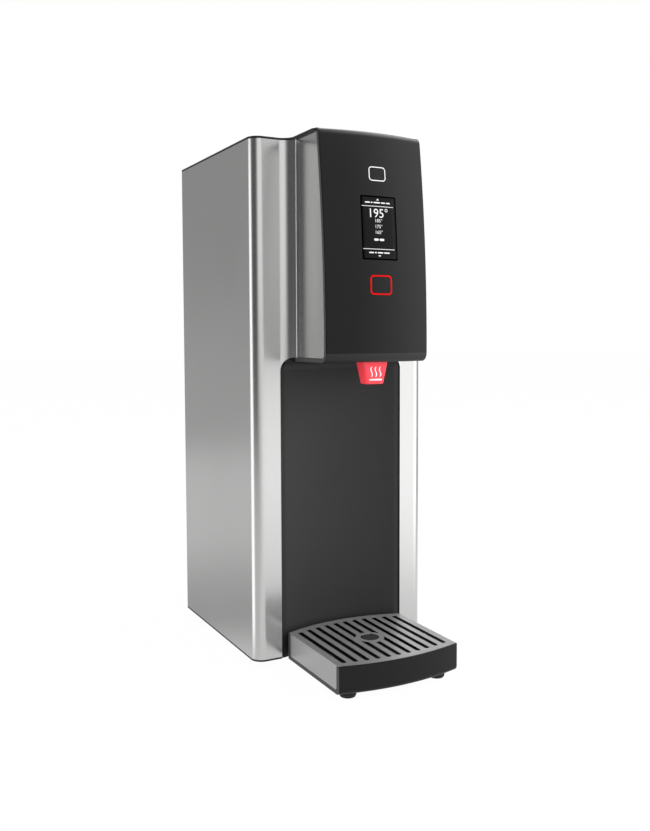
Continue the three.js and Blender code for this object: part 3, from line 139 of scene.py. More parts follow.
# How far a face looks aside or down to take a lighter finish, painted light on side faces and undersides.
ASIDE = 0.9
DOWN = -0.04
# Steps of a wide arc, of a quarter turn and of a full one.
FINE = 24
COARSE = 10
ROUND = 2 * FINE
QUARTER_TURN = [QUARTER * i / COARSE for i in range(COARSE + 1)]


# Places and outlines

def at(x, y, z):
    """A place in the frame, from one in the machine's own measures."""
    return HOME + Vector((x, y, z))


def arc(centre, radius, start, end, steps=FINE):
    """Points of an arc, both ends included, from angles in radians."""
    return [
        (centre[0] + radius * math.cos(start + (end - start) * i / steps),
         centre[1] + radius * math.sin(start + (end - start) * i / steps))
        for i in range(steps + 1)
    ]


def mirrored(points):
    return [(-x, y) for x, y in reversed(points)]


def rounded_box(x0, x1, y0, y1, near, steps=COARSE, far=None):
    """A rectangle's loop with its corners rounded, the far two by another radius if one is given."""
    far = near if far is None else far
    return [
        *arc((x0 + near, y0 + near), near, 2 * QUARTER, 3 * QUARTER, steps),
        *arc((x1 - near, y0 + near), near, 3 * QUARTER, 4 * QUARTER, steps),
        *arc((x1 - far, y1 - far), far, 0, QUARTER, steps),
        *arc((x0 + far, y1 - far), far, QUARTER, 2 * QUARTER, steps),
    ]


def oblong(x0, x1, y0, y1):
    return [(x0, y0), (x1, y0), (x1, y1), (x0, y1)]


def circle(x, y, radius):
    return arc((x, y), radius, 0, 4 * QUARTER * (ROUND - 1) / ROUND, ROUND - 1)


def edge_depth(z):
    """Depth of the fascia's side edges: upright below and leaning back along an arc above."""
    rise = max(0, z - HEAD.lean_start)
    return rise * rise / (2 * HEAD.lean_radius) - HEAD.reach


# Meshes

def link(name, mesh):
    piece = bpy.data.objects.new(name, mesh)
    bpy.context.scene.collection.objects.link(piece)
    return piece


def solid(name, vertices, faces):
    """A mesh object from points in the frame, cleaned and with its faces turned outwards."""
    mesh = bpy.data.meshes.new(name)
    mesh.from_pydata([tuple(v) for v in vertices], [], faces)
    work = bmesh.new()
    work.from_mesh(mesh)
    bmesh.ops.remove_doubles(work, verts=work.verts, dist=WELD)
    bmesh.ops.dissolve_degenerate(work, edges=work.edges, dist=WELD)
    bmesh.ops.recalc_face_normals(work, faces=work.faces)
    work.to_mesh(mesh)
    work.free()
    return link(name, mesh)


def grid(levels, count, closed=True):
    """Faces between rings of points, all of one count."""
    faces = []
    for level in range(levels - 1):
        for i in range(count if closed else count - 1):
            a, b = level * count + i, level * count + (i + 1) % count
            faces.append((a, b, b + count, a + count))
    return faces


def loft(name, rings, closed=True, caps=True):
    """A skin over rings of points in the frame, all of one count."""
    count = len(rings[0])
    vertices = [point for ring in rings for point in ring]
    faces = grid(len(rings), count, closed)
    if caps:
        faces.append(tuple(reversed(range(count))))
        faces.append(tuple(range(len(vertices) - count, len(vertices))))
    return solid(name, vertices, faces)


def prism(name, outline, z0, z1):
    return loft(name, [[at(x, y, z) for x, y in outline] for z in (z0, z1)])


def turned(name, profile, place, axis="z"):
    """A turned solid from [radius, height] pairs, standing along an axis from a place in the frame."""
    vertices = []
    for radius, height in profile:
        for x, y in circle(0, 0, radius):
            vertices.append(place + Vector((x, y, height) if axis == "z" else (x, height, y)))
    faces = grid(len(profile), ROUND)
    for level in (0, len(profile) - 1):
        if profile[level][0] > 0:
            faces.append(tuple(range(level * ROUND, (level + 1) * ROUND)))
    return solid(name, vertices, faces)


def flat_fill(loops):
    """Points and triangles of an outline with holes."""
    points = [point for loop in loops for point in loop]
    triangles = tessellate_polygon([[Vector((x, y, 0)) for x, y in loop] for loop in loops])
    return points, triangles


def plate(name, loops, place, z0, z1):
    """A plate with holes; place turns a point of its outline and a height into the frame's."""
    points, triangles = flat_fill(loops)
    count = len(points)
    vertices = [place(x, y, z) for z in (z0, z1) for x, y in points]
    faces = [tuple(reversed(t)) for t in triangles]
    faces += [tuple(i + count for i in t) for t in triangles]
    start = 0
    for loop in loops:
        for i in range(len(loop)):
            a, b = start + i, start + (i + 1) % len(loop)
            faces.append((a, b, b + count, a + count))
        start += len(loop)
    return solid(name, vertices, faces)


def settle(piece):
    """Applies a piece's modifiers to its mesh."""
    view = bpy.context.evaluated_depsgraph_get()
    view.update()
    mesh = bpy.data.meshes.new_from_object(piece.evaluated_get(view))
    piece.modifiers.clear()
    piece.data = mesh
    return piece


def thicken(piece, wall):
    skin = piece.modifiers.new("wall", "SOLIDIFY")
    skin.thickness = wall
    skin.offset = -1
    skin.use_even_offset = True
    skin.use_quality_normals = True
    return settle(piece)


def carve(piece, others, operation="DIFFERENCE"):
    """Cuts other pieces from this one, or joins or intersects it with them."""
    for other in others:
        tool = piece.modifiers.new("carve", "BOOLEAN")
        tool.operation = operation
        tool.solver = "EXACT"
        tool.object = other
        settle(piece)
        bpy.data.objects.remove(other)
    work = bmesh.new()
    work.from_mesh(piece.data)
    bmesh.ops.remove_doubles(work, verts=work.verts, dist=WELD)
    bmesh.ops.dissolve_limit(work, angle_limit=math.radians(0.02), verts=work.verts, edges=work.edges)
    work.to_mesh(piece.data)
    work.free()
    return piece


def polish(piece, width=0.3 * MM, segments=2, limit=35):
    """Rounds the sharp edges and evens the shading."""
    piece.data.shade_smooth()
    if width > 0:
        edge = piece.modifiers.new("edge", "BEVEL")
        edge.width = width
        edge.segments = segments
        edge.limit_method = "ANGLE"
        edge.angle_limit = math.radians(limit)
        edge.use_clamp_overlap = True
        edge.miter_outer = "MITER_ARC"
    even = piece.modifiers.new("even", "WEIGHTED_NORMAL")
    even.mode = "FACE_AREA"
    even.weight = 100
    return settle(piece)


def dress(piece, material, body="machine", nodes=()):
    """Gives a piece its finish, its body and the CAD nodes that it stands for."""
    if material:
        piece.data.materials.clear()
        piece.data.materials.append(material)
    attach(piece, body)
    if nodes:
        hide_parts(*nodes)
    return piece


def many_toned(piece, names, choice):
    """Gives a piece several finishes; choice says which one a face has."""
    piece.data.materials.clear()
    for name in names:
        piece.data.materials.append(finish_of(name))
    for face in piece.data.polygons:
        face.material_index = int(choice(face))


def joined(name, pieces):
    """One object from several, with their finishes kept."""
    work = bmesh.new()
    for piece in pieces:
        work.from_mesh(piece.data)
        bpy.data.objects.remove(piece)
    mesh = bpy.data.meshes.new(name)
    work.to_mesh(mesh)
    work.free()
    mesh.shade_smooth()
    return link(name, mesh)


# Faces that look to either side, which take the lighter rim finish as painted light.
def painted_lit_side_face(face):
    return abs(face.normal.x) > ASIDE


# Finishes

# Places of a Mix node's sockets when it mixes colours.
MIX_FACTOR, MIX_FIRST, MIX_SECOND, MIX_RESULT = 0, 6, 7, 2


class Field:
    """A number that changes over a surface. Sums and products of it add Math nodes."""

    def __init__(self, finish, socket):
        self.finish = finish
        self.socket = socket

    def _math(self, operation, first, second):
        node = self.finish.node("ShaderNodeMath", {"operation": operation}, {0: first, 1: second})
        return Field(self.finish, node.outputs["Value"])

    def __add__(self, other):
        return self._math("ADD", self, other)

    def __radd__(self, other):
        return self._math("ADD", other, self)

    def __sub__(self, other):
        return self._math("SUBTRACT", self, other)

    def __rsub__(self, other):
        return self._math("SUBTRACT", other, self)

    def __mul__(self, other):
        return self._math("MULTIPLY", self, other)

    def __rmul__(self, other):
        return self._math("MULTIPLY", other, self)


class Nodes:
    """A tree of shader nodes and the one way in which they are made."""

    def __init__(self, tree):
        self.tree = tree

    def feed(self, socket, value):
        if isinstance(value, Field):
            value = value.socket
        if isinstance(value, bpy.types.NodeSocket):
            self.tree.links.new(value, socket)
        elif hasattr(value, "__len__") and len(value) == 3 and socket.type == "RGBA":
            socket.default_value = (*value, 1)
        else:
            socket.default_value = value

    def node(self, kind, settings=None, inputs=None):
        """A node of a kind, with its settings made first and then its sockets fed."""
        node = self.tree.nodes.new(kind)
        for name, value in (settings or {}).items():
            setattr(node, name, value)
        for name, value in (inputs or {}).items():
            self.feed(node.inputs[name], value)
        return node

    def background_share(self):
        """1 for the rays that show the background: seen straight, mirrored or through glass."""
        path = self.node("ShaderNodeLightPath")
        camera, glossy, through = (
            Field(self, path.outputs[f"Is {kind} Ray"]) for kind in ("Camera", "Glossy", "Transmission"))
        return camera + glossy + through


class Finish(Nodes):
    """A material on the Principled shader."""

    def __init__(self, name, **surface):
        self.material = bpy.data.materials.new(name)
        self.material.use_nodes = True
        super().__init__(self.material.node_tree)
        self.surface = self.tree.nodes["Principled BSDF"]
        for socket, value in surface.items():
            self.feed(self.surface.inputs[socket.replace("_", " ")], value)

    def grain(self, scale, stretch=(1, 1, 1), detail=2.0, roughness=0.5):
        """Noise with its cells stretched along an axis, from the piece's own coordinates."""
        place = self.node("ShaderNodeTexCoord").outputs["Object"]
        drawn = self.node("ShaderNodeVectorMath", {"operation": "MULTIPLY"}, {0: place, 1: stretch})
        noise = self.node("ShaderNodeTexNoise", {}, {
            "Vector": drawn.outputs["Vector"], "Scale": scale, "Detail": detail, "Roughness": roughness})
        return Field(self, noise.outputs["Fac"])

    def band(self, field, low, high):
        """The field drawn out so that low becomes 0 and high becomes 1."""
        node = self.node("ShaderNodeMapRange", {}, {"Value": field, "From Min": low, "From Max": high})
        return Field(self, node.outputs["Result"])

    def colour(self, socket, field, first, second):
        """Feeds a socket of the shader with a colour between two colours."""
        inputs = {MIX_FACTOR: field, MIX_FIRST: first, MIX_SECOND: second}
        mix = self.node("ShaderNodeMix", {"data_type": "RGBA"}, inputs)
        self.feed(self.surface.inputs[socket], mix.outputs[MIX_RESULT])

    def tint(self, field, first, second):
        self.colour("Base Color", field, first, second)

    def rough(self, field):
        self.feed(self.surface.inputs["Roughness"], field)

    def relief(self, field, depth):
        """Fine relief, by its real depth in metres."""
        bump = self.node("ShaderNodeBump", {}, {"Height": field, "Distance": depth, "Strength": 1.0})
        self.feed(self.surface.inputs["Normal"], bump.outputs["Normal"])


def shade(colour, share):
    return tuple(c * share for c in colour)


def satin_steel(name, colour, roughness, metallic=1.0):
    """Stainless sheet with a fine even satin and soft clouds, and no visible direction."""
    finish = Finish(name, Metallic=metallic)
    satin = finish.grain(1500, detail=3.0, roughness=0.6)
    clouds = finish.grain(11, (1, 1, 0.6), 2.0)
    finish.tint(
        finish.band(satin * 0.6 + clouds * 0.4, 0.35, 0.65), shade(colour, 0.97), shade(colour, 1.03))
    finish.rough(roughness + (satin - 0.5) * 0.06 + (clouds - 0.5) * 0.03)
    finish.relief(satin, 0.0012 * MM)
    return finish.material


def moulded_plastic(
        name, colour, roughness, grain_depth=0.008 * MM, grain_scale=2600, gloss=1.42, glow=0.0):
    """Plastic with the fine matte texture of its mould; glow is painted light, an emission that brightens
    it though it is no lamp.
    """
    finish = Finish(name, IOR=gloss, Emission_Color=colour, Emission_Strength=glow)
    spark = finish.grain(grain_scale, detail=3.0, roughness=0.6)
    clouds = finish.grain(14, detail=2.0)
    finish.tint(
        finish.band(spark * 0.6 + clouds * 0.4, 0.35, 0.65), shade(colour, 0.92), shade(colour, 1.08))
    finish.rough(roughness + (spark - 0.5) * 0.12 + (clouds - 0.5) * 0.06)
    finish.relief(spark, grain_depth)
    return finish.material


def cast_metal(name, colour, roughness, scale=420):
    """Plated or machined metal with soft mottling."""
    finish = Finish(name, Metallic=1.0)
    cells = Field(finish, finish.node(
        "ShaderNodeTexVoronoi", {"feature": "F1"},
        {"Vector": finish.node("ShaderNodeTexCoord").outputs["Object"], "Scale": scale},
    ).outputs["Distance"])
    marks = finish.grain(1400, detail=3.0)
    finish.tint(finish.band(cells * 0.5 + marks * 0.5, 0.2, 0.7), shade(colour, 0.9), shade(colour, 1.06))
    finish.rough(roughness + (marks - 0.5) * 0.12 + (cells - 0.5) * 0.06)
    finish.relief(marks, 0.006 * MM)
    return finish.material


def soft_rubber(name, colour):
    finish = Finish(name, IOR=1.5)
    grit = finish.grain(3200, detail=2.0)
    dust = finish.grain(60, detail=3.0)
    finish.tint(finish.band(dust, 0.35, 0.7), colour, shade(colour, 1.5))
    finish.rough(0.72 + (grit - 0.5) * 0.2)
    finish.relief(grit, 0.02 * MM)
    return finish.material


def lit(name, colour):
    """A lit line or mark, slightly uneven as a lamp behind a film is."""
    finish = Finish(
        name, Base_Color=shade(colour, 0.2), Roughness=0.35, IOR=1.15, Emission_Strength=1.0)
    glow = finish.band(finish.grain(260), 0.3, 0.7)
    finish.colour("Emission Color", glow, shade(colour, 0.94), colour)
    return finish.material


def glossy_black(name, colour, roughness, gloss):
    """Smooth glass or lacquer with a trace of haze."""
    finish = Finish(name, IOR=gloss)
    haze = finish.grain(35, detail=3.0)
    finish.tint(haze, shade(colour, 0.9), shade(colour, 1.1))
    finish.rough(roughness + (haze - 0.5) * 0.06)
    return finish.material


class DispenserTones(bpy.types.PropertyGroup):
    """Colours of the dispenser's finishes."""

    steel: FloatVectorProperty(
        name="Steel", description="Colour of the satin steel sides", subtype="COLOR",
        default=(0.66, 0.66, 0.655), min=0, max=1)
    black: FloatVectorProperty(
        name="Fascia", description="Colour of the moulded head and splash panel", subtype="COLOR",
        default=(0.0075, 0.0075, 0.0078), min=0, max=1)
    # The rim colour is painted light: a lighter copy of the black plastic, given to faces that look aside
    # where light falls on them.
    rim: FloatVectorProperty(
        name="Rim", description="Colour of the side faces of fascia and tray basin", subtype="COLOR",
        default=(0.06, 0.06, 0.061), min=0, max=1)
    lid: FloatVectorProperty(
        name="Lid", description="Colour of the lid and base", subtype="COLOR",
        default=(0.004, 0.004, 0.0045), min=0, max=1)
    tray: FloatVectorProperty(
        name="Tray cover", description="Colour of the slotted tray cover", subtype="COLOR",
        default=(0.46, 0.46, 0.46), min=0, max=1)
    basin: FloatVectorProperty(
        name="Tray basin", description="Colour of the drip tray's basin", subtype="COLOR",
        default=(0.009, 0.009, 0.0094), min=0, max=1)
    spout: FloatVectorProperty(
        name="Spout", description="Colour of the spout's shroud", subtype="COLOR",
        default=(1.0, 0.06, 0.085), min=0, max=1)
    upper_light: FloatVectorProperty(
        name="Upper key", description="Colour of the upper key's lit line", subtype="COLOR",
        default=(1.0, 1.0, 1.0), min=0, max=1)
    lower_light: FloatVectorProperty(
        name="Lower key", description="Colour of the lower key's lit line", subtype="COLOR",
        default=(0.85, 0.0, 0.0), min=0, max=1)


class DispenserSizes(bpy.types.PropertyGroup):
    """Sizes that shape the visible pieces."""

    corner_radius: FloatProperty(
        name="Body corner", description="Radius of the body's front corners", unit="LENGTH",
        default=12 * MM)
    bend_radius: FloatProperty(
        name="Head bend", description="Radius of the bend between strip and head", unit="LENGTH",
        default=16.5 * MM)
    sheet: FloatProperty(
        name="Sheet", description="Thickness of the steel sheet", unit="LENGTH", default=1.2 * MM)
    bulge: FloatProperty(
        name="Fascia bulge", description="How far the fascia bows out in plan", unit="LENGTH",
        default=7.6 * MM)
    rim: FloatProperty(
        name="Fascia rim", description="Black rim seen beside the cheeks", unit="LENGTH", default=4 * MM)
    sag: FloatProperty(
        name="Splash sag", description="Depth of the splash panel's hollow", unit="LENGTH", default=11 * MM)
    lid_plate: FloatProperty(
        name="Lid", description="Thickness of the lid", unit="LENGTH", default=2.1 * MM)
    edge: FloatProperty(
        name="Edge", description="Rounding of moulded edges", unit="LENGTH", default=0.4 * MM)


class DispenserLight(bpy.types.PropertyGroup):
    """Strength of the studio's light."""

    room: FloatProperty(
        name="Room", description="Light of the room on the object", default=0.45, min=0)
    lamps: FloatProperty(
        name="Lamps", description="Power of the soft lamps", subtype="POWER", default=56, min=0)


def sizes():
    return bpy.context.scene.dispenser_sizes


materials = {}


def finish_of(name):
    """A finish by its name, made the first time that it is asked for."""
    if name not in materials:
        tone = bpy.context.scene.dispenser_tones
        steel, black = tuple(tone.steel), tuple(tone.black)
        makers = {
            "steel": lambda: satin_steel("Satin steel", steel, 0.23),
            "fascia": lambda: moulded_plastic("Fascia plastic", black, 0.40, gloss=1.30),
            "rim": lambda: moulded_plastic("Side face plastic painted lighter", tuple(tone.rim), 0.50),
            # The splash colour is the splash panel's own; on the fascia's undersides it is a lighter copy,
            # painted light.
            "splash": lambda: moulded_plastic(
                "Splash plastic", shade(black, 3.7), 0.50, 0.012 * MM, 1900, 1.33),
            "lid": lambda: moulded_plastic("Lid lacquer", tuple(tone.lid), 0.34, 0.004 * MM),
            "tray": lambda: satin_steel("Tray steel", tuple(tone.tray), 0.42, 0.74),
            "basin": lambda: moulded_plastic("Basin plastic", tuple(tone.basin), 0.42, gloss=1.31),
            "rubber": lambda: soft_rubber("Foot rubber", (0.012, 0.012, 0.012)),
            "glass": lambda: glossy_black("Display glass", (0.0005, 0.0005, 0.0005), 0.30, 1.03),
            "screen": lambda: glossy_black("Display screen", (0.012, 0.012, 0.012), 0.30, 1.15),
            "white": lambda: lit("White light", tuple(tone.upper_light)),
            "red": lambda: lit("Red light", tuple(tone.lower_light)),
            "mark": lambda: lit("Display mark", (0.9, 0.9, 0.9)),
            # The spout's glow is painted light that brightens it in the head's shade; it is no lamp.
            "spout": lambda: moulded_plastic(
                "Spout plastic with painted glow", tuple(tone.spout), 0.34, 0.004 * MM, glow=0.3),
            # The print's glow is painted light as well.
            "print": lambda: moulded_plastic("White print with painted glow", (0.9, 0.9, 0.9), 0.4, 0.002 * MM, glow=0.3),
            "zinc": lambda: cast_metal("Zinc plated sheet", (0.52, 0.53, 0.54), 0.42, 160),
            "stainless": lambda: cast_metal("Plain stainless", (0.55, 0.55, 0.54), 0.30),
            "brass": lambda: cast_metal("Machined brass", (0.62, 0.44, 0.18), 0.28, 600),
            "gland": lambda: moulded_plastic("Nylon", (0.02, 0.02, 0.021), 0.4),
            "foam": lambda: soft_rubber("Tank foam", (0.045, 0.045, 0.05)),
            "silicone": lambda: soft_rubber("Silicone", (0.55, 0.09, 0.03)),
            "hose": lambda: moulded_plastic("Clear hose", (0.7, 0.7, 0.66), 0.3, 0.003 * MM),
            "circuit": lambda: moulded_plastic("Circuit board", (0.01, 0.09, 0.03), 0.4, 0.03 * MM, 500),
            "coil": lambda: moulded_plastic("Coil shell", (0.012, 0.012, 0.016), 0.45),
        }
        materials[name] = makers[name]()
    return materials[name]


# Steel sides, lid and base

def side_columns():
    """Plan of a side sheet from its rear flange to the head's cheek, with the heights of each column."""
    size = sizes()
    half, radius, bend = BODY.half, size.corner_radius, size.bend_radius
    tight, turn, flat = HEAD.bend_end, BEND_TURN, HEAD.bend_flat
    inward = (bend - tight) * math.sin(turn) + flat * math.cos(turn)
    forward = bend - (bend - tight) * math.cos(turn) + flat * math.sin(turn)
    bend_x = HEAD.cheek + tight + inward
    low, high = BODY.foot, BODY.top
    rear = BODY.rear_radius
    plain = [(half - BODY.rear_flange, PANEL_DEPTH)]
    plain += arc((half - rear, PANEL_DEPTH - rear), rear, QUARTER, 0, COARSE)
    plain += arc((half - radius, radius), radius, 0, -QUARTER, ROUND)
    columns = [(point, [low, high]) for point in plain]
    centre_x, centre_z = BAY.half - BAY.corner, BAY.top - BAY.corner
    first = math.acos((BAY.half - bend_x) / bend)
    columns.append(((bend_x, 0), [low, high]))
    start = (bend_x + bend * math.cos(first), bend * math.sin(first) - bend)
    columns.append((start, [low, centre_z, high]))
    switch = QUARTER + turn
    angles = [first + (switch - first) * (i / ROUND) ** BEND_CROWDING for i in range(1, ROUND + 1)]
    points = [(bend_x + bend * math.cos(angle), bend * math.sin(angle) - bend) for angle in angles]
    points += arc((bend_x - inward, -forward), tight, switch, 2 * QUARTER, COARSE)
    for x, y in points:
        inside = max(0, BAY.corner ** 2 - (x - centre_x) ** 2)
        columns.append(((x, y), [centre_z + math.sqrt(inside), high]))
    return columns


def cheek_corner():
    """Centre of the round at the cheek's bottom corner, as depth and height."""
    corner = HEAD.rim_corner
    return edge_depth(BAY.top) + sizes().rim + corner, BAY.top + corner


def cheek_front():
    """The cheek's front edge in side view, from the bottom corner to the top."""
    centre = cheek_corner()
    points = arc(centre, HEAD.rim_corner, 3 * QUARTER, 2 * QUARTER, COARSE)
    for i in range(1, FINE + 1):
        z = centre[1] + (BODY.top - centre[1]) * i / FINE
        points.append((edge_depth(z) + sizes().rim, z))
    return points


def side_sheet(name, side):
    """One bent side sheet as a skin, then thickened inwards."""
    vertices, columns = [], []
    for (x, y), heights in side_columns():
        columns.append(range(len(vertices), len(vertices) + len(heights)))
        vertices += [at(side * x, y, z) for z in heights]
    faces = [(*left[-2:], *reversed(right)) for left, right in zip(columns, columns[1:])]
    low, high = columns[-1]
    front = [at(side * HEAD.cheek, y, z) for y, z in cheek_front()]
    faces.append((low, high, *reversed(range(len(vertices), len(vertices) + len(front)))))
    sheet = solid(name, vertices + front, faces)
    if sheet.data.polygons[0].normal.y < 0:
        sheet.data.flip_normals()
    return polish(thicken(sheet, sizes().sheet), 0.25 * MM)


def lid_outline():
    """The lid in plan: its nose between the cheeks, and the body's outline behind it."""
    half, radius, rear = HEAD.half + LID.overhang, sizes().corner_radius, BODY.rear_radius
    seam = edge_depth(BODY.top) + sizes().rim + HEAD.gap
    corner, fillet = LID.corner, LID.fillet
    right = [
        *arc((half - corner, seam + corner), corner, -QUARTER, 0, COARSE),
        *arc((half + fillet, -fillet), fillet, 2 * QUARTER, QUARTER),
        *arc((BODY.half - radius, radius), radius, -QUARTER, 0),
        *arc((BODY.half - rear, PANEL_DEPTH - rear), rear, 0, QUARTER, COARSE),
    ]
    return [*right, *mirrored(right)]


class DISPENSER_OT_casing(bpy.types.Operator):
    """Builds the two bent steel sides and the lid"""

    bl_idname = "dispenser.casing"
    bl_label = "Casing"

    def execute(self, context):
        for name, side in (("left_side_panel", -1), ("right_side_panel", 1)):
            sheet = side_sheet(name + "_skin", side)
            dress(sheet, finish_of("steel"), nodes=[name])
        low = LID.low
        lid = prism("lid", lid_outline(), low, low + sizes().lid_plate)
        dress(polish(lid, 0.7 * MM, 3), finish_of("lid"), nodes=["top_cover"])
        return {"FINISHED"}


class DISPENSER_OT_feet(bpy.types.Operator):
    """Turns the rubber feet under the body and the tray"""

    bl_idname = "dispenser.feet"
    bl_label = "Feet"

    def execute(self, context):
        for name in ("front_left_foot", "front_right_foot", "rear_left_foot", "rear_right_foot",
                     "left_tray_foot", "right_tray_foot"):
            low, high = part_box(name)
            radius = (high.x - low.x) / 2
            tall = high.z - low.z
            profile = [
                (0, 0.8 * MM), (radius * 0.34, 0.8 * MM), (radius * 0.42, 0.1 * MM), (radius * 0.5, 0),
                (radius - 2 * MM, 0), (radius - 0.9 * MM, 0.5 * MM), (radius - 0.2 * MM, 1.8 * MM),
                (radius, 2.6 * MM), (radius * 0.97, tall * 0.9), (radius * 0.93, tall), (0, tall),
            ]
            place = Vector(((low.x + high.x) / 2, (low.y + high.y) / 2, low.z))
            foot = turned(name + "_rubber", profile, place)
            body = "drip_tray" if "tray" in name else "machine"
            dress(polish(foot, 0), finish_of("rubber"), body, [name])
        return {"FINISHED"}


# Head: fascia, display and keys

def fascia_surface(x, z, proud=0.0):
    """A place on the fascia's outer face, or proud of it."""
    bulge, half = sizes().bulge, HEAD.half
    rise = max(0, z - HEAD.lean_start)
    depth = edge_depth(z) - bulge * (1 - (x / half) ** 2)
    normal = Vector((2 * bulge * x / half ** 2, -1, rise / HEAD.lean_radius)).normalized()
    return at(x, depth, z) + proud * normal


def fascia_levels():
    """Heights of the fascia's rings, each with how far its edge is rounded back."""
    under, over = FASCIA.low_round, FASCIA.top_round
    low, start, end = HEAD.bottom, HEAD.bottom + under, FASCIA.top - over
    levels = [(low + under * (1 - math.cos(a)), under * (1 - math.sin(a))) for a in QUARTER_TURN]
    levels += [(start + (end - start) * i / ROUND, 0) for i in range(1, ROUND)]
    return levels + [(end + over * math.sin(a), over * (1 - math.cos(a))) for a in QUARTER_TURN]


def fascia_ring(z, set_back):
    """The fascia's front in plan at one height, from the left side face to the right one."""
    bulge, half, radius = sizes().bulge, HEAD.half, FASCIA.side_round
    slope = math.atan(2 * bulge / half)
    touch = half - radius + radius * math.sin(slope)

    def depth(x):
        return edge_depth(z) - bulge * (1 - (x / half) ** 2) + set_back

    centre = (half - radius, depth(touch) + radius * math.cos(slope))
    right = arc(centre, radius, slope - QUARTER, 0, COARSE // 2)
    front = [touch * (i / FINE - 1) for i in range(1, ROUND)]
    return [*mirrored(right), *[(x, depth(x)) for x in front], *right]


def fascia_back():
    """The back edge of the fascia's side faces, from the top down round the cheek's corner."""
    gap, top = HEAD.gap, FASCIA.top
    edge = [(edge_depth(top) + sizes().rim - gap, top)]
    edge += [(y - gap, z) for y, z in reversed(cheek_front()[COARSE + 1:])]
    edge += arc(cheek_corner(), HEAD.rim_corner + gap, 2 * QUARTER, 3 * QUARTER, COARSE)
    return [*edge, (HEAD.seam, BAY.top - gap), (HEAD.seam, HEAD.bottom)]


def fascia_shell():
    """The hollow fascia with the spout's hole and its three finishes: faces that look aside take the
    lighter rim finish and faces that look down the lighter splash finish, both painted light.
    """
    rings = [[at(x, y, z) for x, y in fascia_ring(z, set_back)] for z, set_back in fascia_levels()]
    count, back = len(rings[0]), fascia_back()
    vertices = [point for ring in rings for point in ring]
    faces = grid(len(rings), count, closed=False)
    left, right = len(vertices), len(vertices) + len(back)
    for side, column, start in ((-1, 0, left), (1, count - 1, right)):
        vertices += [at(side * HEAD.half, y, z) for y, z in back]
        faces.append((*[level * count + column for level in range(len(rings))],
                      *range(start, start + len(back))))
    faces.append((*range(left - count, left), right, left))
    faces.append((*range(count), right + len(back) - 1, left + len(back) - 1))
    shell = solid("fascia_shell", vertices, faces)
    middle = shell.data.polygons[count * COARSE * 2 + count // 2]
    if middle.normal.y > 0:
        shell.data.flip_normals()
    thicken(shell, FASCIA.wall)
    hole = prism("spout_hole", spout_plan(1, -HEAD.gap), HEAD.bottom - 5 * MM, BAY.top + 3 * MM)
    shell = polish(carve(shell, [hole]), sizes().edge, 2, 50)
    # Painted light: side faces take the rim finish and undersides the splash finish, lighter copies of the
    # black.
    many_toned(shell, ("fascia", "rim", "splash"),
               lambda face: 1 if painted_lit_side_face(face) else 2 * (face.normal.z < DOWN))
    return shell


def wrapped(name, loops, proud, depth):
    """A thin piece that follows the fascia, from flat loops of x and height."""
    points, triangles = flat_fill(loops)
    work = bmesh.new()
    corners = [work.verts.new((x, y, 0)) for x, y in points]
    for triangle in triangles:
        work.faces.new([corners[i] for i in triangle])
    for axis, span in enumerate(zip(*points)):
        for i in range(1, int((max(span) - min(span)) / WRAP_STEP)):
            place, normal = Vector((0, 0, 0)), Vector((0, 0, 0))
            place[axis], normal[axis] = min(span) + i * WRAP_STEP, 1
            every = [*work.verts, *work.edges, *work.faces]
            bmesh.ops.bisect_plane(work, geom=every, plane_co=place, plane_no=normal)
    for corner in work.verts:
        corner.co = fascia_surface(corner.co.x, corner.co.y, proud)
    mesh = bpy.data.meshes.new(name)
    work.to_mesh(mesh)
    work.free()
    piece = link(name, mesh)
    if mesh.polygons[0].normal.y > 0:
        mesh.flip_normals()
    mesh.shade_smooth()
    return thicken(piece, depth)


def screen_outline(inset=0.0):
    return rounded_box(inset - SCREEN.half, SCREEN.half - inset, SCREEN.low + inset,
                       SCREEN.high - inset, SCREEN.corner)


def digits(text, z, height):
    """A number's digits as a flat mesh on the display, centred at a height of it."""
    curve = bpy.data.curves.new("digits", "FONT")
    curve.body = text
    curve.size = height / CAP_HEIGHT
    curve.align_x = "CENTER"
    curve.resolution_u = 3
    source = link("digits", curve)
    view = bpy.context.evaluated_depsgraph_get()
    mesh = bpy.data.meshes.new_from_object(source.evaluated_get(view))
    bpy.data.objects.remove(source)
    low = z - height / 2
    for corner in mesh.vertices:
        corner.co = fascia_surface(corner.co.x + SCREEN.shift, corner.co.y + low, MARK.proud)
    return mesh


def bar(x0, x1, z, tall):
    return rounded_box(x0, x1, z - tall / 2, z + tall / 2, tall * 0.45, 3)


def arrow(z, tall):
    return [(-tall, z - tall / 2), (tall, z - tall / 2), (0, z + tall / 2)]


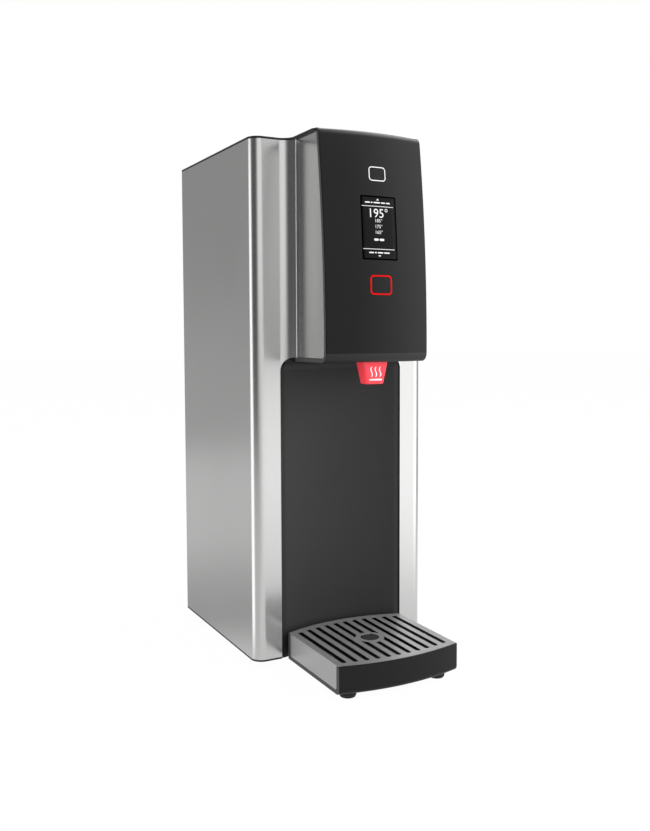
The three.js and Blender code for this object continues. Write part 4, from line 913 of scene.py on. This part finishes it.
def display_marks():
    """What the display shows: a large number, three small ones, dashes, two lines and two arrows."""
    middle = (SCREEN.low + SCREEN.high) / 2
    loops = [
        bar(-MARK.rule, MARK.rule, middle + 20.5 * MM, MARK.line),
        bar(-MARK.rule, MARK.rule, middle - 20.2 * MM, MARK.line),
        arrow(middle + 27 * MM, MARK.arrow),
        arrow(middle - 26.8 * MM, -MARK.arrow),
    ]
    # Rows of dashes: height over the middle, thickness and ends, in millimetres.
    dashes = (
        (24.0, 1.2, ((-13.8, -8.6), (-7.6, -5.6), (-4.6, 2.4), (3.4, 8.2), (9.2, 13.8))),
        (-23.6, 1.2, ((-11.4, -6.2), (-5.2, -3.2), (-2.2, 4.0), (5.0, 11.4))),
        (-11.2, 2.1, ((-5.6, -0.6), (0.4, 5.6))),
    )
    for offset, tall, spans in dashes:
        loops += [bar(x0 * MM, x1 * MM, middle + offset * MM, tall * MM) for x0, x1 in spans]
    pieces = []
    for loop in loops:
        shifted = [(x + SCREEN.shift, z) for x, z in loop]
        pieces.append(wrapped("mark", [shifted], MARK.proud, MARK.film))
    # Numbers: height over the middle and height of the digits, in millimetres.
    numbers = (("195°", 14.1, 8.4), ("185°", 6.9, 3.2), ("175°", 1.4, 3.2), ("165°", -4.1, 3.2))
    for text, offset, tall in numbers:
        pieces.append(link("mark", digits(text, middle + offset * MM, tall * MM)))
    return joined("display_marks", pieces)


def key_line(name, key):
    """The lit line round a key."""
    half, low, high, line = key.half, key.low, key.high, key.line
    outer = rounded_box(-half, half, low, high, key.corner)
    inner = rounded_box(line - half, half - line, low + line, high - line, key.corner - line)
    return wrapped(name, [outer, inner], 0.08 * MM, 0.3 * MM)


class DISPENSER_OT_head(bpy.types.Operator):
    """Builds the fascia with its display and its two lit keys"""

    bl_idname = "dispenser.head"
    bl_label = "Head"

    def execute(self, context):
        dress(fascia_shell(), None,
              nodes=["fascia", "upper_key_tile", "lower_key_tile"])
        glass = wrapped("display_glass_panel", [screen_outline()], 0.04 * MM, 0.5 * MM)
        dress(glass, finish_of("glass"), nodes=["display_glass"])
        screen = wrapped("display_screen", [screen_outline(SCREEN.bezel)], 0.07 * MM, 0.1 * MM)
        dress(screen, finish_of("screen"))
        dress(display_marks(), finish_of("mark"))
        dress(key_line("upper_key_line", KEYS["upper"]), finish_of("white"),
              nodes=["upper_key_light"])
        dress(key_line("lower_key_line", KEYS["lower"]), finish_of("red"),
              nodes=["lower_key_light"])
        return {"FINISHED"}


# Spout

def spout_depth(share):
    """Half the shroud's depth: share is 0 at its mouth and 1 at its top."""
    return (SPOUT.low_depth + (SPOUT.top_depth - SPOUT.low_depth) * share) / 2


def spout_plan(share, inset):
    """The shroud in plan, drawn in by an inset."""
    half = SPOUT.low_half + (SPOUT.top_half - SPOUT.low_half) * share - inset
    deep, middle = spout_depth(share) - inset, SPOUT.middle
    near = max(SPOUT.front_round - inset, 0.3 * MM)
    far = SPOUT.rear_round - inset
    return rounded_box(-half, half, middle - deep, middle + deep, near, COARSE, far)


def spout_shell():
    """The hollow shroud, from the inside of its top round the mouth to the outside."""
    low, bottom, top = SPOUT.low, HEAD.bottom, BAY.top + 1.8 * MM
    wall, mouth = SPOUT.wall, SPOUT.low_round
    rings = [(1, wall, top - 2 * MM), (1, wall, bottom), (0, mouth + wall / 2, low)]
    rings += [(0, mouth * (1 - math.sin(a)), low + mouth * (1 - math.cos(a))) for a in QUARTER_TURN]
    rings += [(1, 0, bottom), (1, 0, top)]
    return loft("spout_shell", [
        [at(x, y, z) for x, y in spout_plan(share, inset)] for share, inset, z in rings])


def spout_wave(x):
    """A rising line of steam on the shroud's front, as a flat ribbon's loop."""
    left, right = [], []
    for i in range(COARSE + 1):
        share = i / COARSE
        bend = WAVE.swing * math.sin(2 * math.pi * share)
        z = SPOUT.low + WAVE.low + (WAVE.high - WAVE.low) * share
        left.append((x + bend - WAVE.width / 2, z))
        right.append((x + bend + WAVE.width / 2, z))
    return [*left, *reversed(right)]


def on_spout(x, z, proud):
    """A place on the shroud's flat front, or proud of it."""
    share = (z - SPOUT.low) / (HEAD.bottom - SPOUT.low)
    return at(x, SPOUT.middle - spout_depth(share) - proud, z)


class DISPENSER_OT_spout(bpy.types.Operator):
    """Builds the red spout shroud with its white steam sign"""

    bl_idname = "dispenser.spout"
    bl_label = "Spout"

    def execute(self, context):
        shroud = polish(spout_shell(), 0.3 * MM)
        dress(shroud, finish_of("spout"), nodes=["spout_shroud"])
        low, half = SPOUT.low, UNDERLINE.half
        loops = [spout_wave(side * WAVE.pitch) for side in (-1, 0, 1)]
        loops.append(rounded_box(
            -half, half, low + UNDERLINE.low, low + UNDERLINE.high, UNDERLINE.corner, 3))
        marks = [plate("wave", [loop], on_spout, 0.0, WAVE.film) for loop in loops]
        dress(joined("spout_sign", marks), finish_of("print"))
        return {"FINISHED"}


# Splash panel

def splash_skin():
    """The splash panel: a hollow between two flat edges, rounded forward at its top."""
    half, edge, front, fillet = BAY.field, BAY.edge, BAY.front, BAY.fillet
    sag = sizes().sag
    radius = (half * half + sag * sag) / (2 * sag)
    spread = math.asin(half / radius)
    turn = HEAD.bottom - HEAD.gap - fillet
    levels = [(BODY.foot, 0), (turn, 0)]
    levels += [(turn + fillet * math.sin(a), fillet * (1 - math.cos(a))) for a in QUARTER_TURN[1:]]
    rings = []
    for z, forward in levels:
        centre = (0, front + sag - radius - forward)
        field = arc(centre, radius, QUARTER + spread, QUARTER - spread, ROUND)
        line = [(-edge, front), (-half, front), *field, (half, front), (edge, front)]
        rings.append([at(x, y, z) for x, y in line])
    skin = loft("splash_skin", rings, closed=False, caps=False)
    if skin.data.polygons[0].normal.y > 0:
        skin.data.flip_normals()
    return polish(thicken(skin, BAY.wall), 0.25 * MM, 2, 50)


class DISPENSER_OT_splash(bpy.types.Operator):
    """Builds the hollowed splash panel behind the cup bay"""

    bl_idname = "dispenser.splash"
    bl_label = "Splash panel"

    def execute(self, context):
        panel = splash_skin()
        low, slot = TRAY.low + HOOK.low, HOOK_SLOT
        cuts = []
        for x in (-HOOK.place, HOOK.place):
            outline = oblong(x - slot.half, x + slot.half, slot.front, slot.back)
            cuts.append(prism("hook_slot", outline, low - slot.under, low + slot.over))
        panel = polish(carve(panel, cuts), 0)
        dress(panel, finish_of("splash"), nodes=["splash_panel"])
        return {"FINISHED"}


# Drip tray

def tray_arc(chord, bow, half, direction):
    full = TRAY.half
    radius = (full * full + bow * bow) / (2 * bow)
    spread = math.asin(half / radius)
    centre = (0, chord + direction * (bow - radius))
    return arc(centre, radius, direction * QUARTER - spread, direction * QUARTER + spread, ROUND)


def tray_plan(side_inset, end_inset, set_back=0.0):
    """The tray's outline, its ends drawn in and its front set back further."""
    half = TRAY.half - side_inset
    return [
        *tray_arc(TRAY.front + end_inset + set_back, TRAY.front_bow, half, -1),
        *tray_arc(TRAY.back - end_inset, TRAY.back_bow, half, 1),
    ]


def tray_form(name, side_inset, end_inset, radius, low, high):
    """A solid of that plan whose front rises from its low level in a round."""
    turn = math.acos(max(0, 1 - (high - low) / radius))
    levels = []
    for i in range(FINE + 1):
        angle = turn * i / FINE
        levels.append((low + radius * (1 - math.cos(angle)), radius * (1 - math.sin(angle))))
    if high > low + radius:
        levels.append((high, 0))
    return loft(name, [
        [at(x, y, z) for x, y in tray_plan(side_inset, end_inset, back)] for z, back in levels])


def tray_ends(x, inset):
    """Depths of the tray's bowed front and back at a distance from its middle, drawn in."""
    share = (x / TRAY.half) ** 2
    front = TRAY.front - TRAY.front_bow * (1 - share) + inset
    return front, TRAY.back + TRAY.back_bow * (1 - share) - inset


def tray_slots():
    """Loops of the cover's slots; the middle ones end at a ring round the hole."""
    width, ring, hole_at = SLOTS.width / 2, SLOTS.ring, SLOTS.hole_at
    loops = []
    for i in range(-SLOTS_ASIDE, SLOTS_ASIDE + 1):
        x = i * SLOTS.pitch
        front, back = tray_ends(x, SLOTS.end + TRAY.lip)
        near = arc((x, front + width), width, 2 * QUARTER, 4 * QUARTER, COARSE)
        far = arc((x, back - width), width, 0, 2 * QUARTER, COARSE)
        if abs(x) > ring:
            loops.append([*near, *far])
            continue
        across = [x + width * (1 - 2 * j / COARSE) for j in range(COARSE + 1)]
        round_hole = [(u, math.sqrt(ring * ring - u * u)) for u in across]
        loops.append([*near, *[(u, hole_at - v) for u, v in round_hole]])
        loops.append([*[(u, hole_at + v) for u, v in reversed(round_hole)], *far])
    loops.append(circle(0, hole_at, SLOTS.hole))
    return loops


def tray_cover():
    """The slotted cover sheet with its two skirts; the slots' side walls take the black basin finish, a
    painted shade for the dark inside of the slots.
    """
    top, gap, corner = TRAY.top, HEAD.gap, TRAY.skirt_corner
    loops = [tray_plan(0, TRAY.lip + gap), *tray_slots()]
    lid = polish(plate("cover_top", loops, at, top - TRAY.face, top), 0.15 * MM, 2, 50)
    rim = TRAY.lip + SLOTS.end / 2
    # Painted shade: the slots' side walls take the black basin finish, standing in for the dark inside of
    # the slots.
    for face in lid.data.polygons:
        x, y = face.center.x, face.center.y - HOME.y
        near, far = tray_ends(x, rim)
        inside = abs(x) < TRAY.half - rim and near < y < far
        face.material_index = int(inside and abs(face.normal.x) > 0.5)
    low = TRAY.low + TRAY.border_height + gap
    front, back = TRAY.front + TRAY.border + gap, TRAY.back - TRAY.border - gap
    loop = [
        *arc((front + corner, low + corner), corner, 2 * QUARTER, 3 * QUARTER, COARSE),
        *arc((back - corner, low + corner), corner, 3 * QUARTER, 4 * QUARTER, COARSE),
        (back, top - TRAY.skirt_drop), (front, top - TRAY.skirt_drop),
    ]
    parts = [lid]
    for side in (-1, 1):
        inner, outer = side * (TRAY.half - TRAY.sheet), side * (TRAY.half + TRAY.skirt_proud)
        skirt = plate("cover_skirt", [loop], lambda y, z, x: at(x, y, z), inner, outer)
        parts.append(polish(skirt, 0.3 * MM, 2, 50))
    cover = joined("tray_cover_sheet", parts)
    for name in ("tray", "basin"):
        cover.data.materials.append(finish_of(name))
    return cover


def tray_boss():
    """The round boss of the basin that fills the cover's hole."""
    radius, edge = SLOTS.boss, SLOTS.boss_round
    low, top = TRAY.low + TRAY.wall, TRAY.top - SLOTS.boss_drop
    corner = arc((radius - edge, top - edge), edge, 0, QUARTER, 4)
    return turned("boss", [(0, low), (radius, low), *corner, (0, top)], at(0, SLOTS.hole_at, 0))


def tray_basin():
    """The basin with its side borders, the cover's seat, the hollow and two hooks."""
    low, top, flank = TRAY.low, TRAY.top, TRAY.flank
    half, toe, wall, lip = TRAY.half, TRAY.toe, TRAY.wall, TRAY.lip
    basin = tray_form("tray_basin_shell", 0, 0, toe, low, top)
    start, stop = TRAY.front + TRAY.border, TRAY.back - TRAY.border
    for near, far in ((flank - half, -half - OVER), (half - flank, half + OVER)):
        outline = oblong(near, far, start, stop)
        carve(basin, [prism("pocket", outline, low + TRAY.border_height, top + OVER)])
    carve(basin, [
        prism("seat", tray_plan(-OVER, lip), top - TRAY.sheet - HEAD.gap, top + OVER),
        tray_form("room", wall + flank, lip + TRAY.ledge, toe - wall, low + wall, top + OVER),
    ])
    parts = [polish(basin, sizes().edge, 2, 50)]
    for x in (-HOOK.place, HOOK.place):
        outline = oblong(x - HOOK.half, x + HOOK.half, 0, HOOK.reach)
        parts.append(polish(prism("hook", outline, low + HOOK.low, low + HOOK.high), 0.3 * MM))
    return joined("tray_basin_shell", parts)


class DISPENSER_OT_tray(bpy.types.Operator):
    """Builds the drip tray's basin and its slotted cover"""

    bl_idname = "dispenser.tray"
    bl_label = "Drip tray"

    def execute(self, context):
        basin = tray_basin()
        # Painted light: the basin's side faces take the lighter rim finish.
        many_toned(basin, ("basin", "rim"), painted_lit_side_face)
        dress(basin, None, "drip_tray", ["tray_basin"])
        dress(polish(tray_boss(), 0), finish_of("splash"), "drip_tray")
        dress(tray_cover(), None, "drip_tray_cover", ["tray_cover"])
        return {"FINISHED"}


# Back

def rear_loops():
    """The rear panel's outline and its holes, in x and height."""
    low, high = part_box("rear_panel")
    loops = [rounded_box(-high.x, high.x, low.z - HOME.z, high.z - HOME.z, 6 * MM)]
    for name, radius in REAR_HOLES.items():
        a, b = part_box(name)
        loops.append(circle((a.x + b.x) / 2, (a.z + b.z) / 2 - HOME.z, radius))
    hole = SWITCH_HOLE
    loops.append(rounded_box(-hole.half, hole.half, hole.low, hole.high, hole.corner, 3))
    for highest in VENT_TOPS:
        for i in range(1, VENTS + 1):
            z = highest - i * VENT.pitch
            loops.append(rounded_box(-VENT.half, VENT.half, z, z + VENT.height, VENT.corner))
    return loops


def hex_piece(name, place, across, start, end, profile, bore):
    """A hexagon nut with a turned neck, along the depth axis."""
    ring = [(across * math.cos(math.pi * i / 3), across * math.sin(math.pi * i / 3)) for i in range(6)]
    nut = loft("nut", [[place + Vector((x, y, z)) for x, z in ring] for y in (start, end)])
    neck = turned("neck", profile, place, "y")
    whole = carve(polish(nut, 0.5 * MM), [neck], "UNION")
    if bore > 0:
        bit = [(bore, start - 30 * MM), (bore, end + 60 * MM)]
        carve(whole, [turned("bit", bit, place, "y")])
    whole.name = name
    return polish(whole, 0.15 * MM, 2, 40)


def thread(radius, start, end, pitch, depth):
    """Profile of a run of thread grooves."""
    root = radius - depth
    points = [(root, start)]
    for i in range(int((end - start) / pitch)):
        base = start + i * pitch
        for out, share in ((radius, 0.35), (radius, 0.55), (root, 0.95)):
            points.append((out, base + pitch * share))
    return points


def screw_head(name):
    """A domed screw with a cross cut into its head."""
    low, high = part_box(name)
    place = Vector(((low.x + high.x) / 2, low.y, (low.z + high.z) / 2))
    shank, dome, rim = 1.8 * MM, 3.8 * MM, 0.6 * MM
    seat, face = high.y - 2 * MM - low.y, high.y - low.y
    profile = [(0, 0), (shank, 0), (shank, seat), (dome, seat), (dome, seat + rim)]
    profile += [(dome * math.cos(a), seat + rim + (face - seat - rim) * math.sin(a))
                for a in (0.3, 0.6, 0.9, 1.2, 1.45)]
    head = turned(name + "_head", [*profile, (0, face)], place, "y")
    cross = []
    for wide, tall in ((0.5 * MM, 2.1 * MM), (2.1 * MM, 0.5 * MM)):
        corners = oblong(-wide, wide, -tall, tall)
        cross.append(loft("cross", [[place + Vector((x, y, z)) for x, z in corners]
                                    for y in (face - 1.1 * MM, face + 2 * MM)]))
    return polish(carve(head, cross), 0.1 * MM, 1, 50)


def fitting_place(name, face):
    """Where a fitting crosses the rear panel's face, and how far it reaches in and out from there."""
    low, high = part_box(name)
    place = Vector(((low.x + high.x) / 2, face, (low.z + high.z) / 2))
    return place, low.y - face, high.y - face


class DISPENSER_OT_back(bpy.types.Operator):
    """Builds the rear panel with its screws, fittings and switch"""

    bl_idname = "dispenser.back"
    bl_label = "Back"

    def execute(self, context):
        low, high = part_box("rear_panel")
        panel = plate("rear_panel_sheet", rear_loops(), lambda x, z, y: Vector((x, y, z + HOME.z)),
                      low.y, high.y)
        dress(polish(panel, 0.2 * MM, 1, 50), finish_of("zinc"), nodes=["rear_panel"])
        for i in range(1, 5):
            name = f"rear_screw_{i}"
            dress(screw_head(name), finish_of("stainless"), nodes=[name])
        self.fittings(high.y)
        self.switch()
        return {"FINISHED"}

    def fittings(self, face):
        seat = 0.3 * MM
        place, inner, outer = fitting_place("inlet_fitting", face)
        profile = [
            (5.9 * MM, inner), (5.9 * MM, seat + 5.5 * MM),
            *thread(6 * MM, seat + 6.2 * MM, outer - 0.8 * MM, 1.3 * MM, 0.5 * MM), (5.2 * MM, outer),
        ]
        inlet = hex_piece("inlet_union", place, 11 * MM, seat, seat + 6 * MM, profile, 4 * MM)
        dress(inlet, finish_of("brass"), nodes=["inlet_fitting"])
        place, inner, outer = fitting_place("cable_gland", face)
        profile = [
            (8.9 * MM, inner), (8.9 * MM, seat + 5.2 * MM), (9 * MM, seat + 6.5 * MM),
            (9 * MM, outer - 4 * MM), (8.6 * MM, outer - 2.4 * MM), (7.6 * MM, outer - 0.9 * MM),
            (6 * MM, outer),
        ]
        gland = hex_piece("cord_gland", place, 13 * MM, seat, seat + 5 * MM, profile, 4.5 * MM)
        dress(gland, finish_of("gland"), nodes=["cable_gland"])
        place, inner, outer = fitting_place("drain_cap", face)
        profile = [(7.2 * MM, seat + 1 * MM), (7.2 * MM, outer - 0.8 * MM), (6.4 * MM, outer)]
        cap = hex_piece("drain_cap_nut", place, 9 * MM, seat, outer - 1.5 * MM, profile, 0)
        dress(cap, finish_of("brass"), nodes=["drain_cap"])

    def switch(self):
        low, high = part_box("switch_housing")
        middle = (low.z + high.z) / 2 - HOME.z
        face, seat, rear = high.y, high.y - 2 * MM, high.y - 10 * MM

        def outline(half, tall, corner, steps):
            return rounded_box(-half, half, middle - tall, middle + tall, corner, steps)

        def place(x, z, y):
            return Vector((x, y, z + HOME.z))

        rim = outline(high.x, (high.z - low.z) / 2, 1.2 * MM, 4)
        well = outline(11.5 * MM, 8.5 * MM, 0.6 * MM, 3)
        box = outline(13.5 * MM, 10.5 * MM, 0.6 * MM, 3)
        bezel = polish(plate("bezel", [rim, well], place, seat, face), 0.35 * MM)
        walls = plate("walls", [box, well], place, rear, seat)
        floor = plate("floor", [box], place, low.y, rear)
        housing = joined("switch_frame", [bezel, walls, floor])
        dress(housing, finish_of("gland"), nodes=["switch_housing"])
        self.rocker(face - 5 * MM)

    def rocker(self, pivot):
        low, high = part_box("power_rocker")
        middle, reach = (low.z + high.z) / 2, (high.z - low.z) / 2
        tip, steps = high.y - pivot, 12
        profile = [(-4 * MM, -reach / 2), (0, -reach), (tip, -reach)]
        profile += [(tip - 1.1 * MM * math.sin(i * math.pi / steps), -reach + 2 * reach * i / steps)
                    for i in range(1, steps)]
        profile += [(tip, reach), (0, reach), (-4 * MM, reach / 2)]
        cap = loft("rocker_cap", [
            [Vector((x, pivot + y, middle + z)) for y, z in profile] for x in (low.x, high.x)])
        dress(polish(cap, 0.4 * MM, 2, 40), finish_of("gland"), "rocker", ["power_rocker"])
        depth, aside = high.y - 0.55 * MM, 4.2 * MM
        ring = [circle(0, 0, 1.5 * MM), circle(0, 0, 1.0 * MM)]
        line = [rounded_box(-0.25 * MM, 0.25 * MM, -1.6 * MM, 1.6 * MM, 0.2 * MM, 2)]
        marks = [
            plate(name, loops, lambda x, z, y: Vector((x, y, middle + rise + z)), depth - 1 * MM, depth)
            for name, loops, rise in (("off", ring, -aside), ("on", line, aside))
        ]
        dress(joined("rocker_marks", marks), finish_of("print"), "rocker")


class DISPENSER_OT_inside(bpy.types.Operator):
    """Gives the CAD pieces that stay their finishes"""

    bl_idname = "dispenser.inside"
    bl_label = "Inner pieces"

    def execute(self, context):
        by_slot = {
            "brushed_steel": "steel", "tank_steel": "stainless", "tray_steel": "tray", "zinc_steel": "zinc",
            "black_plastic": "basin", "dark_plastic": "gland", "rubber": "rubber", "display_glass": "glass",
            "screen": "screen", "white_light": "white", "red_light": "red", "red_plastic": "spout",
            "foam": "foam", "silicone": "silicone", "brass": "brass", "coil": "coil", "circuit": "circuit",
            "hose": "hose",
        }
        for row in frame["record"]["subparts"]:
            node = frame["nodes"][row["node"]]
            node.data.materials.clear()
            node.data.materials.append(finish_of(by_slot[row["material_slot"]]))
        frame["nodes"]["base_pan"].data.materials[0] = finish_of("lid")
        # Painted light: the head floor's side faces take the lighter rim finish.
        many_toned(frame["nodes"]["head_floor"], ("fascia", "rim"), painted_lit_side_face)
        return {"FINISHED"}


# Stage

# The camera, in metres and degrees, as solved from the photograph.
CAMERA = {"place": Vector((-0.4434, -0.85515, 0.3373)), "yaw": 27.831, "pitch": 3.672, "roll": -0.196,
          "lens": 38.26, "shift_y": -0.030}

FLOOR_REACH = 12.0
# The soft lamps: place, target, width and height, and share of the lamps' power.
LAMPS = {
    "key_lamp": ((2.1, -1.6, 1.3), (0, -0.05, 0.25), (1.4, 1.4), 1.0),
    "left_lamp": ((-2.2, -0.4, 1.2), (0, 0, 0.3), (1.0, 1.6), 0.3),
}
# The studio that metal mirrors: a bowl round the machine, seen only in reflections.
STUDIO = {"radius": 3.0, "wall": 2.0, "roof": 3.2, "inner": 0.02, "lift": 1 * MM, "columns": 360,
          "grey": 0.42, "middle": (-0.09, -0.045)}
# Its soft boxes and flags, each over those before it: angles from the front towards the
# machine's right, heights up the wall and then the roof, or below zero inwards over the
# ground, the light, and how softly the sides and the ends fade.
BOXES = (
    ((-200, -124), (0.45, 6), 0.33, (6, 0.7)),  # upper back left
    ((-200, -112), (-2.6, -1.3), 0.64, (6, 0.5)),  # ground back left
    ((-124, -98), (-3, 1.3), 1.75, (5, 0.6)),  # left strip box
    ((-119, -89), (-3.2, 0.2), 1.6, (12, 0.3)),  # left strip box on the ground
    ((-90, -42), (-1.2, 3), 0.10, (9, 1.6)),  # camera flag
    ((-84, -22), (-3.4, -1.5), 0.66, (10, 1.6)),  # ground by the camera
    ((-31, 60), (0.35, 2.4), 1.01, (9, 0.5)),  # front box
    ((-16, 80), (-3, 0.2), 1.15, (56, 0.45)),  # front ground
    ((9, 29), (0.2, 2.4), 0.58, (4, 0.4)),  # front gap
    ((29, 50), (-3, 2.4), 1.38, (5, 0.3)),  # right box
    ((48, 78), (-3, 2.4), 2.0, (4, 0.4)),  # right wall
    # The next three rows darken the mirrored ground in front, nearer the machine: a painted shadow of the
    # machine.
    ((-10, 200), (-3.4, -2.3), 0.93, (30, 1.0)),  # nearer front ground
    ((-40, 200), (-3.4, -2.68), 0.82, (30, 0.3)),  # nearest front ground
    ((-400, 400), (-3.4, -2.92), 0.75, (1, 0.2)),  # shade by the machine
    ((-200, 200), (2.6, 6), 0.95, (1, 0.6)),  # roof
    ((20, 150), (2.5, 3.7), 6.0, (20, 0.5)),  # roof lamp
)


def soft_lamp(name, place, target, size, watts):
    lamp = bpy.data.lights.new(name, "AREA")
    lamp.shape = "RECTANGLE"
    lamp.size, lamp.size_y = size
    lamp.energy = watts
    holder = link(name, lamp)
    holder.location = place
    holder.rotation_euler = (Vector(target) - Vector(place)).to_track_quat("-Z", "Y").to_euler()
    holder.visible_glossy = False
    holder.visible_camera = False


def floor_finish():
    """Pale floor that shows white and keeps the object's shadow."""
    finish = Finish("Floor", Roughness=0.9, IOR=1.01)
    seen = finish.background_share()
    finish.tint(seen, (0.7, 0.7, 0.7), (1.0, 1.0, 1.0))
    bright = finish.node("ShaderNodeEmission", {}, {"Color": (1.0, 1.0, 1.0, 1.0), "Strength": 1.01})
    mix = finish.node("ShaderNodeMixShader", {}, {
        0: seen * 0.97, 1: finish.surface.outputs["BSDF"], 2: bright.outputs["Emission"]})
    finish.feed(finish.tree.nodes["Material Output"].inputs["Surface"], mix.outputs["Shader"])
    return finish.material


def studio_finish():
    """Light as bright as each place of the bowl says."""
    finish = Finish("Studio", Base_Color=(0, 0, 0), Roughness=1.0, IOR=1.0, Emission_Strength=1.0)
    light = finish.node("ShaderNodeAttribute", {"attribute_name": "light"}).outputs["Fac"]
    finish.feed(finish.surface.inputs["Emission Color"], light)
    return finish.material


def within(value, span, fade):
    """1 inside a span and 0 outside, with soft ends."""
    share = min(value - span[0], span[1] - value) / fade + 0.5
    share = min(max(share, 0), 1)
    return share * share * (3 - 2 * share)


def studio_light(turn, rise):
    """The bowl's light at an angle and a height."""
    light = STUDIO["grey"]
    for turns, rises, power, (side_fade, end_fade) in BOXES:
        share = within(turn, turns, side_fade) * within(rise, rises, end_fade)
        light += (power - light) * share
    return light


def studio_rings():
    """Radius and height of each ring of the bowl, with how far up the wall or inwards it lies."""
    radius, wall, inner, lift = STUDIO["radius"], STUDIO["wall"], STUDIO["inner"], STUDIO["lift"]
    rings = []
    for i in range(FINE + 1):
        r = inner * (radius / inner) ** (i / FINE)
        rings.append((r, lift, r - radius))
    for i in range(1, FINE + 1):
        z = wall * i / FINE
        rings.append((radius, z, z))
    for i in range(1, COARSE):
        angle = QUARTER * i / COARSE
        r = radius * math.cos(angle)
        rings.append((r, wall + (STUDIO["roof"] - wall) * math.sin(angle), wall + radius - r))
    return rings


class DISPENSER_OT_stage(bpy.types.Operator):
    """Sets up the floor, the walls that metal mirrors, the soft lamps and the camera"""

    bl_idname = "dispenser.stage"
    bl_label = "Stage"

    def execute(self, context):
        light = context.scene.dispenser_light
        self.floor()
        self.studio()
        self.world(light.room)
        for name, (place, target, size, share) in LAMPS.items():
            soft_lamp(name, place, target, size, light.lamps * share)
        self.camera(context)
        context.scene.view_settings.view_transform = "Standard"
        return {"FINISHED"}

    def floor(self):
        mesh = bpy.data.meshes.new("floor")
        outline = oblong(-FLOOR_REACH, FLOOR_REACH, -FLOOR_REACH, FLOOR_REACH)
        mesh.from_pydata([(x, y, 0) for x, y in outline], [], [(0, 1, 2, 3)])
        mesh.materials.append(floor_finish())
        link("floor", mesh)

    def studio(self):
        columns, rings = STUDIO["columns"], studio_rings()
        x, y = STUDIO["middle"]
        corners, lights = [], []
        for r, z, rise in rings:
            for i in range(columns):
                turn = 360 * i / columns - 180
                angle = math.radians(turn)
                corners.append((x + r * math.sin(angle), y - r * math.cos(angle), z))
                lights.append(studio_light(turn, rise))
        faces = grid(len(rings), columns)
        faces.append(tuple(range(len(corners) - columns, len(corners))))
        mesh = bpy.data.meshes.new("studio")
        mesh.from_pydata(corners, [], faces)
        mesh.attributes.new("light", "FLOAT", "POINT").data.foreach_set("value", lights)
        mesh.materials.append(studio_finish())
        bowl = link("studio", mesh)
        for ray in ("camera", "diffuse", "transmission", "shadow", "volume_scatter"):
            setattr(bowl, "visible_" + ray, False)

    def world(self, room):
        world = bpy.data.worlds.new("Studio")
        world.use_nodes = True
        bpy.context.scene.world = world
        air = Nodes(world.node_tree)
        background = world.node_tree.nodes["Background"]
        air.feed(background.inputs["Color"], (1.0, 1.0, 1.0))
        air.feed(background.inputs["Strength"], room + air.background_share() * (1 - room))

    def camera(self, context):
        lens = bpy.data.cameras.new("camera")
        lens.sensor_width = 36
        lens.lens = CAMERA["lens"]
        lens.shift_y = CAMERA["shift_y"]
        lens.clip_start = 0.01
        holder = link("camera", lens)
        holder.location = CAMERA["place"]
        yaw, pitch = math.radians(CAMERA["yaw"]), math.radians(CAMERA["pitch"])
        ahead = Vector((math.sin(yaw) * math.cos(pitch), math.cos(yaw) * math.cos(pitch), -math.sin(pitch)))
        turn = ahead.to_track_quat("-Z", "Y").to_matrix()
        roll = Matrix.Rotation(math.radians(CAMERA["roll"]), 3, "Z")
        holder.rotation_euler = (turn @ roll).to_euler()
        context.scene.camera = holder


class DISPENSER_PT_panel(bpy.types.Panel):
    """Buttons for the dispenser's pieces"""

    bl_idname = "DISPENSER_PT_panel"
    bl_label = "Dispenser"
    bl_space_type = "VIEW_3D"
    bl_region_type = "UI"
    bl_category = "Dispenser"

    def draw(self, context):
        for group_name in GROUPS:
            box, group = self.layout.box(), getattr(context.scene, group_name)
            for name in group.bl_rna.properties.keys():
                if name not in ("rna_type", "name"):
                    box.prop(group, name)
        for step in STEPS:
            self.layout.operator(step.bl_idname)


STEPS = (
    DISPENSER_OT_inside, DISPENSER_OT_casing, DISPENSER_OT_feet, DISPENSER_OT_head, DISPENSER_OT_spout,
    DISPENSER_OT_splash, DISPENSER_OT_tray, DISPENSER_OT_back, DISPENSER_OT_stage,
)
GROUPS = {
    "dispenser_sizes": DispenserSizes, "dispenser_tones": DispenserTones, "dispenser_light": DispenserLight,
}


def register():
    for kind in (*GROUPS.values(), *STEPS, DISPENSER_PT_panel):
        bpy.utils.register_class(kind)
    for name, group in GROUPS.items():
        setattr(bpy.types.Scene, name, PointerProperty(type=group))


def unregister():
    for name in GROUPS:
        delattr(bpy.types.Scene, name)
    for kind in reversed((*GROUPS.values(), *STEPS, DISPENSER_PT_panel)):
        bpy.utils.unregister_class(kind)


def main():
    register()
    for old in list(bpy.data.objects):
        if old.type in ("LIGHT", "CAMERA"):
            bpy.data.objects.remove(old)
    bpy.ops.dispenser.inside()
    bpy.ops.dispenser.casing()
    bpy.ops.dispenser.feet()
    bpy.ops.dispenser.head()
    bpy.ops.dispenser.spout()
    bpy.ops.dispenser.splash()
    bpy.ops.dispenser.tray()
    bpy.ops.dispenser.back()
    bpy.ops.dispenser.stage()


if __name__ == "__main__":
    main()
